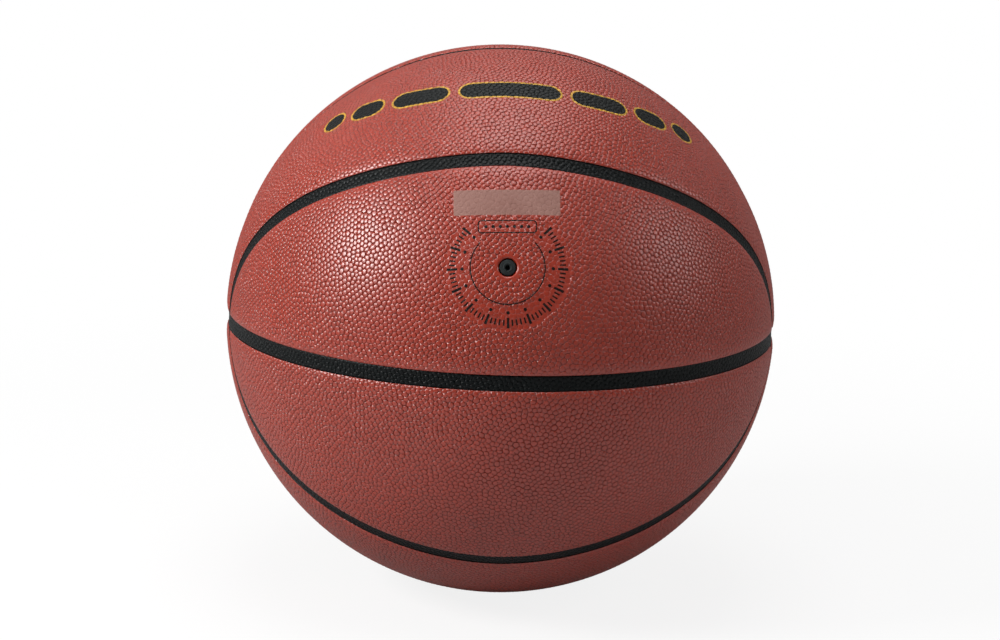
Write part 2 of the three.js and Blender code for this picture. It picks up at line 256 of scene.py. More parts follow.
@dataclass(frozen=True)
class SeamLayout:
    """Where the seams run on the ball.

    Attributes:
        ball_radius: To the crown of the panels, in millimetres.
        channel_width: Of the gap between two panels, in millimetres.
        strip_gap: Between a channel strip and a panel, in millimetres.
        oval_height: From the equator to the top of an oval, in degrees.
        oval_end: From the tip of an oval to the meridian seam, in degrees.
        oval_power: 2 makes an ellipse, less makes a leaner oval.
        line_steps: Points on a seam that is then spaced evenly.
        overrun: How far the line over a half seam goes on below the equator, in radians.
    """

    ball_radius: float = 120.0
    channel_width: float = 6.7
    strip_gap: float = 0.15
    oval_height: float = 45.5
    oval_end: float = 10.0
    oval_power: float = 1.8
    line_steps: int = 1600
    overrun: float = 0.2

    @property
    def channel_half(self) -> float:
        """From the middle of a seam to the edge of a panel."""
        return self.channel_width / 2

    @property
    def strip_half(self) -> float:
        """From the middle of a seam to the edge of its strip."""
        return self.channel_half - self.strip_gap

    def oval(self, turn: Array) -> Array:
        """Works out points of the front oval seam.

        Args:
            turn: Angles along it, from its +X tip at 0 over the top at a quarter turn.

        Returns:
            Directions from the centre.
        """
        across, rise = np.cos(turn), np.sin(turn)
        power = 2 / self.oval_power
        east = math.radians(90 - self.oval_end) * np.sign(across) * np.abs(across) ** power
        north = math.radians(self.oval_height) * np.sign(rise) * np.abs(rise) ** power
        level = np.cos(north)
        return np.stack([level * np.sin(east), -level * np.cos(east), np.sin(north)], axis=1)

    def oval_outward(self, turn: Array) -> Array:
        """Directions square to the oval seam, away from its middle."""
        step = 1e-4
        along = self.oval(turn + step) - self.oval(turn - step)
        return unit(np.cross(along, self.oval(turn)))

    def beside_oval(self, turn: Array, offset: float) -> Array:
        """Points at an offset outside the oval seam, in millimetres along the ball."""
        lean = offset / self.ball_radius
        return math.cos(lean) * self.oval(turn) + math.sin(lean) * self.oval_outward(turn)

    def beside_equator(self, turn: Array, offset: float) -> Array:
        """Works out a line beside the front half of the equator seam.

        Args:
            turn: Angles along it, from its +X end.
            offset: Above it, in millimetres along the ball.

        Returns:
            Directions from the centre.
        """
        lean = offset / self.ball_radius
        level = math.cos(lean)
        height = np.full_like(turn, math.sin(lean))
        return np.stack([level * np.cos(turn), -level * np.sin(turn), height], axis=1)

    def beside_meridian(self, turn: Array, offset: float) -> Array:
        """Points at an offset behind the upper half of the meridian seam."""
        along, front, aside = self.beside_equator(turn, offset).T
        return np.stack([along, aside, -front], axis=1)

    def above(self, line: Array, height: float) -> Array:
        """Cuts a line that rises from the equator and falls back to it at a height above it.

        Args:
            line: Points of the line, close together.
            height: In millimetres along the ball.

        Returns:
            The part of the line above that height, with exact ends.
        """
        level = math.sin(height / self.ball_radius)
        top = len(line) // 2
        rising = np.interp(level, line[:top, 2], np.arange(top))
        falling = np.interp(level, line[:top:-1, 2], np.arange(len(line) - 1, top, -1))
        between = np.arange(math.floor(rising) + 1, math.ceil(falling))
        places = np.concatenate([[rising], between, [falling]])
        columns = [np.interp(places, np.arange(len(line)), column) for column in line.T]
        return unit(np.stack(columns, axis=1))

    def half_turns(self) -> Array:
        """Turns along the upper half of a seam and a little beyond both ends."""
        return np.linspace(-self.overrun, math.pi + self.overrun, self.line_steps)

    def over_oval(self, offset: float, height: float) -> Array:
        """The line beside the upper half of the oval seam, cut at a height above the equator."""
        return self.above(self.beside_oval(self.half_turns(), offset), height)

    def over_meridian(self, offset: float, height: float) -> Array:
        """The line beside the upper half of the meridian seam, cut at a height."""
        return self.above(self.beside_meridian(self.half_turns(), offset), height)

    def level_line(self, start: Array, end: Array) -> Array:
        """Draws a line at one height above the equator, round the front.

        Args:
            start: Where it starts.
            end: Where it ends, at the same height.

        Returns:
            Directions of its points.
        """
        first, last = (math.atan2(-point[1], point[0]) for point in (start, end))
        turn = np.linspace(first, last, self.line_steps)
        lean = self.ball_radius * math.asin(start[2])
        return self.beside_equator(turn, lean)

    def arc(self, rise: Array) -> Array:
        """Distances along the ball, in millimetres, for heights above a plane through its centre."""
        return self.ball_radius * np.arcsin(np.clip(rise, -1, 1))

    def from_oval(self, points: Array) -> Array:
        """Measures how far points lie outside the front oval seam.

        Args:
            points: Directions from the centre.

        Returns:
            Distances in millimetres, negative inside the seam.
        """
        turn = np.linspace(0, 2 * math.pi, self.line_steps, endpoint=False)
        line, outward = self.oval(turn), self.oval_outward(turn)
        nearest = np.argmax(points @ line.T, axis=1)
        return self.arc(np.einsum("ij,ij->i", points, outward[nearest]))

    def from_equator(self, points: Array) -> Array:
        """Distances above the equator seam, in millimetres."""
        return self.arc(points[:, 2])

    def from_meridian(self, points: Array) -> Array:
        """Distances behind the meridian seam, in millimetres."""
        return self.arc(points[:, 1])


@dataclass(frozen=True)
class Embossing:
    """The pebbles' form at some points.

    Attributes:
        pebble: Number of the pebble that each point lies on.
        reach: How far out it lies there, from 0 on the top to 1 in a valley.
        height: From 0 in a valley to 1 on a usual top.
        shade: A random shade of its pebble, from 0 to 1.
    """

    pebble: Array
    reach: Array
    height: Array
    shade: Array


@dataclass(frozen=True)
class PebbleGrain:
    """The pebbles that are embossed in leather, in millimetres.

    Attributes:
        spacing: From one pebble to the next.
        relief: From the valleys to the tops.
        dome: Power of the fall from a top to a valley. A higher one makes flatter tops.
        jitter: Unevenness of the places, as a share of the spacing.
        beyond: Room past a piece's edges that gets pebbles too, in spacings.
        settling: Times that the pebbles are moved to the middle of their room.
        shoulder: Place of the ring of points round a top, as a share of the way to the valley.
        shoulder_slope: Slope of the round face at that ring, in degrees.
        rim_slope: Slope of the round face beside a valley, in degrees.
        valley_power: A higher one makes the dark lines of painted shade in the valleys narrower.
        uneven: Spread of the heights, as a share of the relief.
        tilt: Spread of the slope of the tops.
        pressed: Level of leather that is pressed flat, as a share of the relief below the tops.
        closest: Points nearer to each other than this are merged.
        shortest_side: A pebble's side needs this length to get a point in its middle.
        seed: Of the random places and heights.
    """

    spacing: float = 2.15
    relief: float = 0.26
    dome: float = 4.0
    jitter: float = 0.24
    beyond: float = 3.0
    settling: int = 3
    shoulder: float = 0.67
    shoulder_slope: float = 5.0
    rim_slope: float = 60.0
    valley_power: int = 14
    uneven: float = 0.06
    tilt: float = 0.015
    pressed: float = 0.4
    closest: float = 0.2
    shortest_side: float = 0.5
    seed: int = 7

    def spread(self, radius: float, spacing: float) -> Array:
        """Spreads directions evenly over the whole ball.

        Args:
            radius: Of the ball, in millimetres.
            spacing: From one to the next, about.

        Returns:
            The directions.
        """
        count = round(4 * math.pi * radius ** 2 / (spacing ** 2 * math.sqrt(3) / 2))
        number = np.arange(count)
        height = 1 - (2 * number + 1) / count
        level = np.sqrt(1 - height ** 2)
        turn = GOLDEN_ANGLE * number
        return np.stack([level * np.cos(turn), level * np.sin(turn), height], axis=1)

    def scatter(self, piece: "CoverPiece") -> Array:
        """Settles uneven pebble centres over a piece and a little beyond its edges.

        Args:
            piece: The piece that is embossed.

        Returns:
            Directions of the pebbles' middles.
        """
        radius = piece.layout.ball_radius
        draw = np.random.default_rng(self.seed)
        centres = self.spread(radius, self.spacing)
        centres = unit(centres + draw.normal(0, self.jitter * self.spacing / radius, centres.shape))
        margin = self.beyond * self.spacing
        centres = centres[piece.edge_distance(centres) > -margin]
        inner = piece.edge_distance(centres) > -margin / 2
        for _ in range(self.settling):
            triangles, _ = triangulate(piece.flattening.flat(centres), [])
            valleys = unit(face_normals(centres, triangles))
            centres[inner] = unit(summed(valleys, triangles, len(centres))[inner])
        return centres

    def detail(self, centres: Array, piece: "CoverPiece") -> Array:
        """Works out the points that give each pebble its form.

        Args:
            centres: Directions of the pebbles' middles.
            piece: The piece that is embossed.

        Returns:
            Directions of valley points, shoulder points and tops, with near doubles left out.
        """
        triangles, _ = triangulate(piece.flattening.flat(centres), [])
        valleys = unit(face_normals(centres, triangles))
        shoulders = []
        for corner in range(3):
            top = centres[triangles[:, corner]]
            shoulders.append(top + self.shoulder * (valleys - top))
        sides = np.sort(np.vstack([triangles[:, [0, 1]], triangles[:, [1, 2]], triangles[:, [2, 0]]]))
        owner = np.tile(np.arange(len(triangles)), 3)
        order = np.lexsort(sides.T)
        sides, owner = sides[order], owner[order]
        paired = np.flatnonzero((sides[1:] == sides[:-1]).all(axis=1))
        first, second = valleys[owner[paired]], valleys[owner[paired + 1]]
        long = np.linalg.norm(first - second, axis=1) * piece.layout.ball_radius > self.shortest_side
        middles = unit(first + second)[long]
        for end in range(2):
            top = centres[sides[paired][long][:, end]]
            shoulders.append(top + self.shoulder * (middles - top))
        points = unit(np.vstack([valleys, middles, *shoulders, centres]))
        cells = np.round(points * piece.layout.ball_radius / self.closest).astype(int)
        _, kept = np.unique(cells, axis=0, return_index=True)
        return points[np.sort(kept)]

    def emboss(self, points: Array, centres: Array, radius: float) -> Embossing:
        """Reads the pebbles' form at some points.

        Args:
            points: Directions on the ball.
            centres: Directions of the pebbles' middles.
            radius: Of the ball, in millimetres.

        Returns:
            The form at each point.
        """
        tree = tree_of(centres * radius)
        found = [tree.find_n(point, 2) for point in points * radius]
        nearest = np.array([pair[0][1] for pair in found])
        near, next_near = (np.array([pair[k][2] for pair in found]) for k in range(2))
        reach = 1 - (next_near - near) / (next_near + near)
        draw = np.random.default_rng(self.seed + 1)
        top = 1 + draw.uniform(-self.uneven, self.uneven, len(centres))
        slope = draw.normal(0, self.tilt / self.relief, (len(centres), 3))
        shade = draw.random(len(centres))
        lean = np.einsum("ij,ij->i", (points - centres[nearest]) * radius, slope[nearest])
        height = top[nearest] * (1 - reach ** self.dome) + lean * (1 - reach ** 2)
        return Embossing(nearest, reach, height, shade[nearest])

    def normals(
        self, points: Array, triangles: Array, centres: Array,
        form: Embossing, level: Array, share: Array,
    ) -> Array:
        """Works out how the round pebbles face at the corners of the triangles.

        Args:
            points: Directions on the ball.
            triangles: Point numbers.
            centres: Directions of the pebbles' middles.
            form: The pebbles' form at the points.
            level: Normals of the face without its pebbles at the points.
            share: How high the pebbles stand at the points, from 0 to 1.

        Returns:
            Three normals for each triangle.
        """
        innermost = np.argmin(form.reach[triangles], axis=1)
        pebble = form.pebble[triangles[np.arange(len(triangles)), innermost]]
        corners = points[triangles]
        outward = corners - centres[pebble][:, None]
        outward -= corners * np.einsum("ijk,ijk->ij", outward, corners)[..., None]
        outward /= np.maximum(np.linalg.norm(outward, axis=2, keepdims=True), 1e-9)
        steps = (0, self.shoulder_slope, self.rim_slope)
        slope = share * np.tan(np.radians(np.interp(form.reach, (0, self.shoulder, 1), steps)))
        return unit(level[triangles] + slope[triangles][..., None] * outward)


@dataclass(frozen=True)
class Mark:
    """A printed patch: its outline on the ball, as directions, and its ink."""

    outline: Array
    ink: Ink


@dataclass
class CoverPiece:
    """A piece of the cover: a closed leather sheet with an embossed face and rolled edges.

    Attributes:
        layout: The seams of the ball.
        grain: The pebbles of the leather.
        flattening: The map on which the piece is joined into triangles.
        back_radius: Of the hidden back of the sheet, in millimetres.
        edge_rows: Distances of the rows of points along the edges, in millimetres.
        edge_spacing: Between the points of a row.
        back_spacing: Between the points of the back.
        edge_share: Height of the pebbles at an edge, as a share of those in the middle.
        edge_fade: Distance from an edge at which the pebbles have their full height.
        wall_ink: What covers the cut edge.
    """

    layout: SeamLayout
    grain: PebbleGrain
    flattening: Flattening
    back_radius: float = 117.85
    edge_rows: tuple[float, ...] = (0.0, 0.15, 0.5)
    edge_spacing: float = 0.7
    back_spacing: float = 8.0
    edge_share: float = 0.75
    edge_fade: float = 3.5
    wall_ink: Ink = Ink.NONE

    def outline(self, inset: float) -> Array:
        """The piece's outline, drawn in by an inset, counter-clockwise seen from outside."""
        raise NotImplementedError

    def edge_distance(self, points: Array) -> Array:
        """Distances from the nearest edge, in millimetres, negative outside the piece."""
        raise NotImplementedError

    def crown(self, edge: Array) -> Array:
        """Radius of the pebbles' tops at distances from the edge, in millimetres."""
        raise NotImplementedError

    def holes(self) -> list[Array]:
        """Outlines of holes through the sheet, clockwise seen from outside."""
        return []

    def hole_rows(self) -> list[Array]:
        """Rows of points round the holes."""
        return []

    def marks(self) -> list[Mark]:
        """Printed patches, where a later one covers an earlier one."""
        return []

    def share(self, points: Array, edge: Array) -> Array:
        """How high the pebbles stand, from 0 where leather is pressed flat to 1."""
        rise = smooth_step(0, self.edge_fade, edge)
        return self.edge_share + (1 - self.edge_share) * rise

    def sink(self, points: Array) -> Array:
        """How deep the face is pressed in besides its pebbles, in millimetres."""
        return np.zeros(len(points))

    def joined(self, *lines: Array) -> Array:
        """Joins lines that meet end to end into one closed outline with even spacing."""
        spacing = self.edge_spacing / self.layout.ball_radius
        return unit(np.vstack([respaced(line, spacing)[:-1] for line in lines]))

    def level_ended(self, there: Array, back: Array) -> Array:
        """One outline of a line there, a line back and level lines between their ends."""
        left = self.layout.level_line(there[-1], back[0])
        return self.joined(there, left, back, self.layout.level_line(back[-1], there[0]))

    def clear_points(self, points: Array, lines: Array, room: float) -> Array:
        """Leaves out the points that crowd some lines.

        Args:
            points: Directions on the ball.
            lines: Directions of the points of the lines.
            room: Least distance, in millimetres.

        Returns:
            The points that are kept.
        """
        tree = tree_of(lines * self.layout.ball_radius)
        apart = [tree.find(point)[2] for point in points * self.layout.ball_radius]
        return points[np.array(apart) > room]

    def face_points(self, centres: Array) -> tuple[Array, list[Array]]:
        """Gathers the points of the embossed face.

        Args:
            centres: Directions of the pebbles' middles.

        Returns:
            The points, and the loops of point numbers that are kept as edges: the outline, the
            holes and then the printed patches.
        """
        lines = [self.outline(0), *self.holes(), *(mark.outline for mark in self.marks())]
        rows = [self.outline(row) for row in self.edge_rows[1:]] + self.hole_rows()
        detail = self.grain.detail(centres, self)
        inner = self.edge_distance(detail) > self.edge_rows[-1] + self.grain.closest
        fixed = np.vstack(lines + rows)
        detail = self.clear_points(detail[inner], fixed, self.grain.closest)
        return np.vstack([fixed, detail]), numbered(lines)

    def build(self, name: str) -> bpy.types.Object:
        """Builds the piece in the front upper quarter.

        Args:
            name: Of the new object.

        Returns:
            The object, with its place in its mesh.
        """
        centres = self.grain.scatter(self)
        points, loops = self.face_points(centres)
        plane = self.flattening.flat(points)
        triangles, inside = triangulate(plane, loops)
        holes = set(range(1, 1 + len(self.holes())))
        kept = [0 in found and not found & holes for found in inside]
        triangles = triangles[kept]
        inks = self.face_inks([found for found, keep in zip(inside, kept) if keep])
        edge = self.edge_distance(points)
        share = self.share(points, edge)
        form = self.grain.emboss(points, centres, self.layout.ball_radius)
        dip = self.grain.pressed * (1 - share) + share * (1 - form.height)
        crown = self.crown(edge) - self.sink(points)
        sheet = SheetMesh(points * (crown - self.grain.relief * dip)[:, None], plane)
        sheet.add_faces(triangles, sheet.face_uv[triangles], inks)
        places = points * crown[:, None]
        level = unit(summed(face_normals(places, triangles), triangles, len(places)))
        sheet.normals = self.grain.normals(points, triangles, centres, form, level, share)
        cuts = loops[: 1 + len(self.holes())]
        walls = [sheet.add_wall(loop, self.back_radius, self.wall_ink) for loop in cuts]
        self.add_back(sheet, walls)
        # Painted shade: the valley paint darkens the colour and lowers the shine at the valleys' bottoms.
        sheet.paint("valley", form.reach ** self.grain.valley_power * share)
        # The shade paint is a random tone of each pebble, not light.
        sheet.paint("shade", form.shade)
        return sheet.write(name)

    def face_inks(self, inside: list[set[int]]) -> Array:
        """Finds the ink of each triangle.

        Args:
            inside: For each triangle, the numbers of the loops that it lies in.

        Returns:
            The inks, where a later mark covers an earlier one.
        """
        first = 1 + len(self.holes())
        inks = [mark.ink for mark in self.marks()]
        latest = [max(found) - first for found in inside]
        return np.array([inks[number] if number >= 0 else Ink.NONE for number in latest])

    def add_back(self, sheet: "SheetMesh", walls: list[Array]) -> None:
        """Closes the back of a sheet between the feet of its walls.

        Args:
            sheet: The mesh so far.
            walls: Point numbers of the feet of the outer wall and then of the holes' walls.
        """
        spread = self.grain.spread(self.layout.ball_radius, self.back_spacing)
        inner = spread[self.edge_distance(spread) > self.back_spacing / 2]
        feet = np.vstack([unit(sheet.points[wall]) for wall in walls])
        inner = self.clear_points(inner, feet, self.back_spacing / 2)
        points = np.vstack([feet, inner])
        triangles, inside = triangulate(self.flattening.flat(points), numbered(walls))
        kept = [found == {0} for found in inside]
        numbers = np.concatenate([*walls, sheet.add_points(inner * self.back_radius)])
        back = numbers[triangles[kept]][:, ::-1]
        uv = sheet.fitted(self.flattening.flat(unit(sheet.points)), sheet.BACK_MAP)
        sheet.add_faces(back, uv[back], np.full(len(back), Ink.NONE))


class SheetMesh:
    """Gathers the points, faces and texture map of a sheet and writes them as one mesh."""

    FACE_MAP = (0.01, 0.01, 0.99, 0.84)
    BACK_MAP = (0.01, 0.86, 0.5, 0.93)
    WALL_MAP = (0.01, 0.94, 0.99, 0.99)

    def __init__(self, points: Array, plane: Array) -> None:
        """Starts from the points of the face.

        Args:
            points: The points, in millimetres.
            plane: Their places on the flat map.
        """
        self.points = points
        self.face_uv = self.fitted(plane, self.FACE_MAP)
        self.triangles: list[Array] = []
        self.uv: list[Array] = []
        self.inks: list[Array] = []
        self.paints: dict[str, Array] = {}
        self.normals = np.zeros((0, 3, 3))

    @staticmethod
    def fitted(plane: Array, window: tuple[float, float, float, float]) -> Array:
        """Stretches places on a plane to fill a window of the texture map."""
        low, high = plane.min(axis=0), plane.max(axis=0)
        corner, size = np.array(window[:2]), np.array(window[2:]) - np.array(window[:2])
        return corner + (plane - low) / (high - low) * size

    def add_points(self, points: Array) -> Array:
        """Adds points and returns their numbers."""
        start = len(self.points)
        self.points = np.vstack([self.points, points])
        return np.arange(start, len(self.points))

    def add_faces(self, triangles: Array, uv: Array, inks: Array) -> None:
        """Adds triangles with the map places of their corners and their inks."""
        self.triangles.append(triangles)
        self.uv.append(uv)
        self.inks.append(inks)

    def add_wall(self, loop: Array, radius: float, ink: Ink) -> Array:
        """Adds the wall that goes down from a loop of the face.

        Args:
            loop: Point numbers, with the sheet on the left seen from outside.
            radius: Of the foot of the wall, in millimetres.
            ink: What covers the wall.

        Returns:
            The point numbers of the foot.
        """
        foot = self.add_points(unit(self.points[loop]) * radius)
        loop_next, foot_next = np.roll(loop, -1), np.roll(foot, -1)
        lower = np.stack([loop, foot, foot_next], axis=1)
        upper = np.stack([loop, foot_next, loop_next], axis=1)
        left, low, right, high = self.WALL_MAP
        place = left + (right - left) * np.arange(len(loop) + 1) / len(loop)
        here, there = place[:-1], place[1:]
        top, bottom = np.full_like(here, high), np.full_like(here, low)
        lower_uv = np.stack([here, top, here, bottom, there, bottom], axis=1).reshape(-1, 3, 2)
        upper_uv = np.stack([here, top, there, bottom, there, top], axis=1).reshape(-1, 3, 2)
        triangles = np.vstack([lower, upper])
        self.add_faces(triangles, np.vstack([lower_uv, upper_uv]), np.full(len(triangles), ink))
        return foot

    def paint(self, name: str, values: Array) -> None:
        """Keeps a value for each point of the face, and 0 for the other points."""
        self.paints[name] = np.concatenate([values, np.zeros(len(self.points) - len(values))])

    def write(self, name: str) -> bpy.types.Object:
        """Writes the mesh in metres.

        Args:
            name: Of the new object.

        Returns:
            The object, smooth between its sharp edges and with the pebbles' normals.
        """
        triangles = np.vstack(self.triangles)
        mesh = bpy.data.meshes.new(name)
        mesh.from_pydata((self.points * MM).tolist(), [], triangles.tolist())
        mesh.polygons.foreach_set("material_index", np.concatenate(self.inks).astype(np.int32))
        layer = mesh.uv_layers.new(name=BAKE_MAP)
        layer.data.foreach_set("uv", np.vstack(self.uv).astype(np.float32).ravel())
        for paint, values in self.paints.items():
            attribute = mesh.attributes.new(paint, "FLOAT", "POINT")
            attribute.data.foreach_set("value", values.astype(np.float32))
        mesh.validate()
        piece = bpy.data.objects.new(name, mesh)
        bpy.context.scene.collection.objects.link(piece)
        shade(piece, COVER_SHARP)
        corners = np.zeros((len(mesh.loops), 3))
        corners[: 3 * len(self.normals)] = self.normals.reshape(-1, 3)
        mesh.normals_split_custom_set(corners.tolist())
        return piece


@dataclass
class Panel(CoverPiece):
    """A laid-on panel with a crowned face and rolled edges.

    Attributes:
        edge_drop: Fall from the crown to the edge, in millimetres.
        edge_roll: Width over which the edge falls.
    """

    wall_ink: Ink = Ink.BLACK
    edge_drop: float = 0.8
    edge_roll: float = 5.0

    def crown(self, edge: Array) -> Array:
        """A level crown that falls to the edge along a quarter of an ellipse."""
        return self.layout.ball_radius - quarter_round(edge, self.edge_roll, self.edge_drop)


@dataclass
class OvalPanel(Panel):
    """The half oval above the equator."""

    def outline(self, inset: float) -> Array:
        """Over the top along the oval seam, then back along the equator seam."""
        edge = self.layout.channel_half + inset
        over = self.layout.over_oval(-edge, edge)
        return self.joined(over, self.layout.level_line(over[-1], over[0]))

    def edge_distance(self, points: Array) -> Array:
        """From the oval seam or the equator seam, whichever is nearer."""
        inside = np.minimum(self.layout.from_equator(points), -self.layout.from_oval(points))
        return inside - self.layout.channel_half


@dataclass
class BandPanel(Panel):
    """The long band between the oval seam, the meridian seam and the equator seam.

    Attributes:
        stripe_offset: From the oval seam to the middle of the printed stripe, in millimetres.
        stripe_width: Of the stripe's black dashes.
        stripe_dashes: Lengths of the dashes, from one end to the other.
        stripe_gap: Between two dashes, with their rims.
        stripe_rim: Width of the gold line round a dash.
        printed: Whether this panel has the stripe.
    """

    stripe_offset: float = 41.0
    stripe_width: float = 10.0
    stripe_dashes: tuple[float, ...] = (10.0, 15.0, 24.0, 42.0, 24.0, 15.0, 10.0)
    stripe_gap: float = 5.0
    stripe_rim: float = 0.9
    printed: bool = False

    def outline(self, inset: float) -> Array:
        """Back along the oval seam and over the top along the meridian seam."""
        edge = self.layout.channel_half + inset
        over = self.layout.over_meridian(-edge, edge)
        return self.level_ended(over, self.layout.over_oval(edge, edge)[::-1])

    def edge_distance(self, points: Array) -> Array:
        """From the nearest of the three seams."""
        front = np.minimum(self.layout.from_oval(points), -self.layout.from_meridian(points))
        return np.minimum(front, self.layout.from_equator(points)) - self.layout.channel_half

    def on_stripe(self, flat: Array) -> Array:
        """Lays flat places on the ball along the stripe.

        Args:
            flat: Places along and across the stripe, in millimetres.

        Returns:
            Their directions.
        """
        turn = np.linspace(0, math.pi, self.layout.line_steps)
        line = self.layout.beside_oval(turn, self.stripe_offset) * self.layout.ball_radius
        along = lengths_along(line)
        turns = np.interp(along[-1] / 2 - flat[:, 0], along, turn)
        middle, outward = self.layout.oval(turns), self.layout.oval_outward(turns)
        lean = ((self.stripe_offset + flat[:, 1]) / self.layout.ball_radius)[:, None]
        return np.cos(lean) * middle + np.sin(lean) * outward

    def marks(self) -> list[Mark]:
        """Draws the broken stripe: black dashes with round ends and gold rims.

        Returns:
            For each dash its rim and then the dash, and nothing on a plain panel.
        """
        if not self.printed:
            return []
        marks = []
        total = sum(self.stripe_dashes) + self.stripe_gap * (len(self.stripe_dashes) - 1)
        place = -total / 2
        for length in self.stripe_dashes:
            middle = (place + length / 2, 0.0)
            for rim, ink in ((self.stripe_rim, Ink.GOLD), (0.0, Ink.BLACK)):
                size = (length + 2 * rim, self.stripe_width + 2 * rim)
                marks.append(Mark(self.on_stripe(rounded_bar(middle, size, size[1] / 2)), ink))
            place += length + self.stripe_gap
        return marks


def rounded_bar(
    middle: tuple[float, float], size: tuple[float, float], corner: float, spacing: float = 0.45
) -> Array:
    """A flat outline with straight sides and round corners.

    Args:
        middle: Place of its middle, in millimetres.
        size: Its width and height.
        corner: Radius of its corners.
        spacing: Between its points.

    Returns:
        Points of the outline, counter-clockwise.
    """
    turn = np.linspace(0, 2 * math.pi, CURVE_STEPS, endpoint=False)
    direction = np.stack([np.cos(turn), np.sin(turn)], axis=1)
    half = np.maximum(np.array(size) / 2 - corner, 0)
    signs = np.where(direction >= 0, 1, -1)
    return respaced(np.array(middle) + signs * half + corner * direction, spacing, closed=True)


def arc_band(
    radius: float, width: float, start: float, end: float, spacing: float = 0.45
) -> Array:
    """A flat outline along an arc round the origin.

    Args:
        radius: Of the middle of the band, in millimetres.
        width: Of the band.
        start: Where the arc starts, in degrees to the right from straight up.
        end: Where it ends.
        spacing: Between its points.

    Returns:
        Points of the outline, counter-clockwise.
    """
    turn = np.radians(np.linspace(start, end, CURVE_STEPS))
    ray = np.stack([np.sin(turn), np.cos(turn)], axis=1)
    inner, outer = ray * (radius - width / 2), ray * (radius + width / 2)
    first, last = (
        respaced(np.stack(pair), spacing)[1:-1]
        for pair in ((outer[0], inner[0]), (inner[-1], outer[-1]))
    )
    return np.vstack([respaced(outer[::-1], spacing), first, respaced(inner, spacing), last])


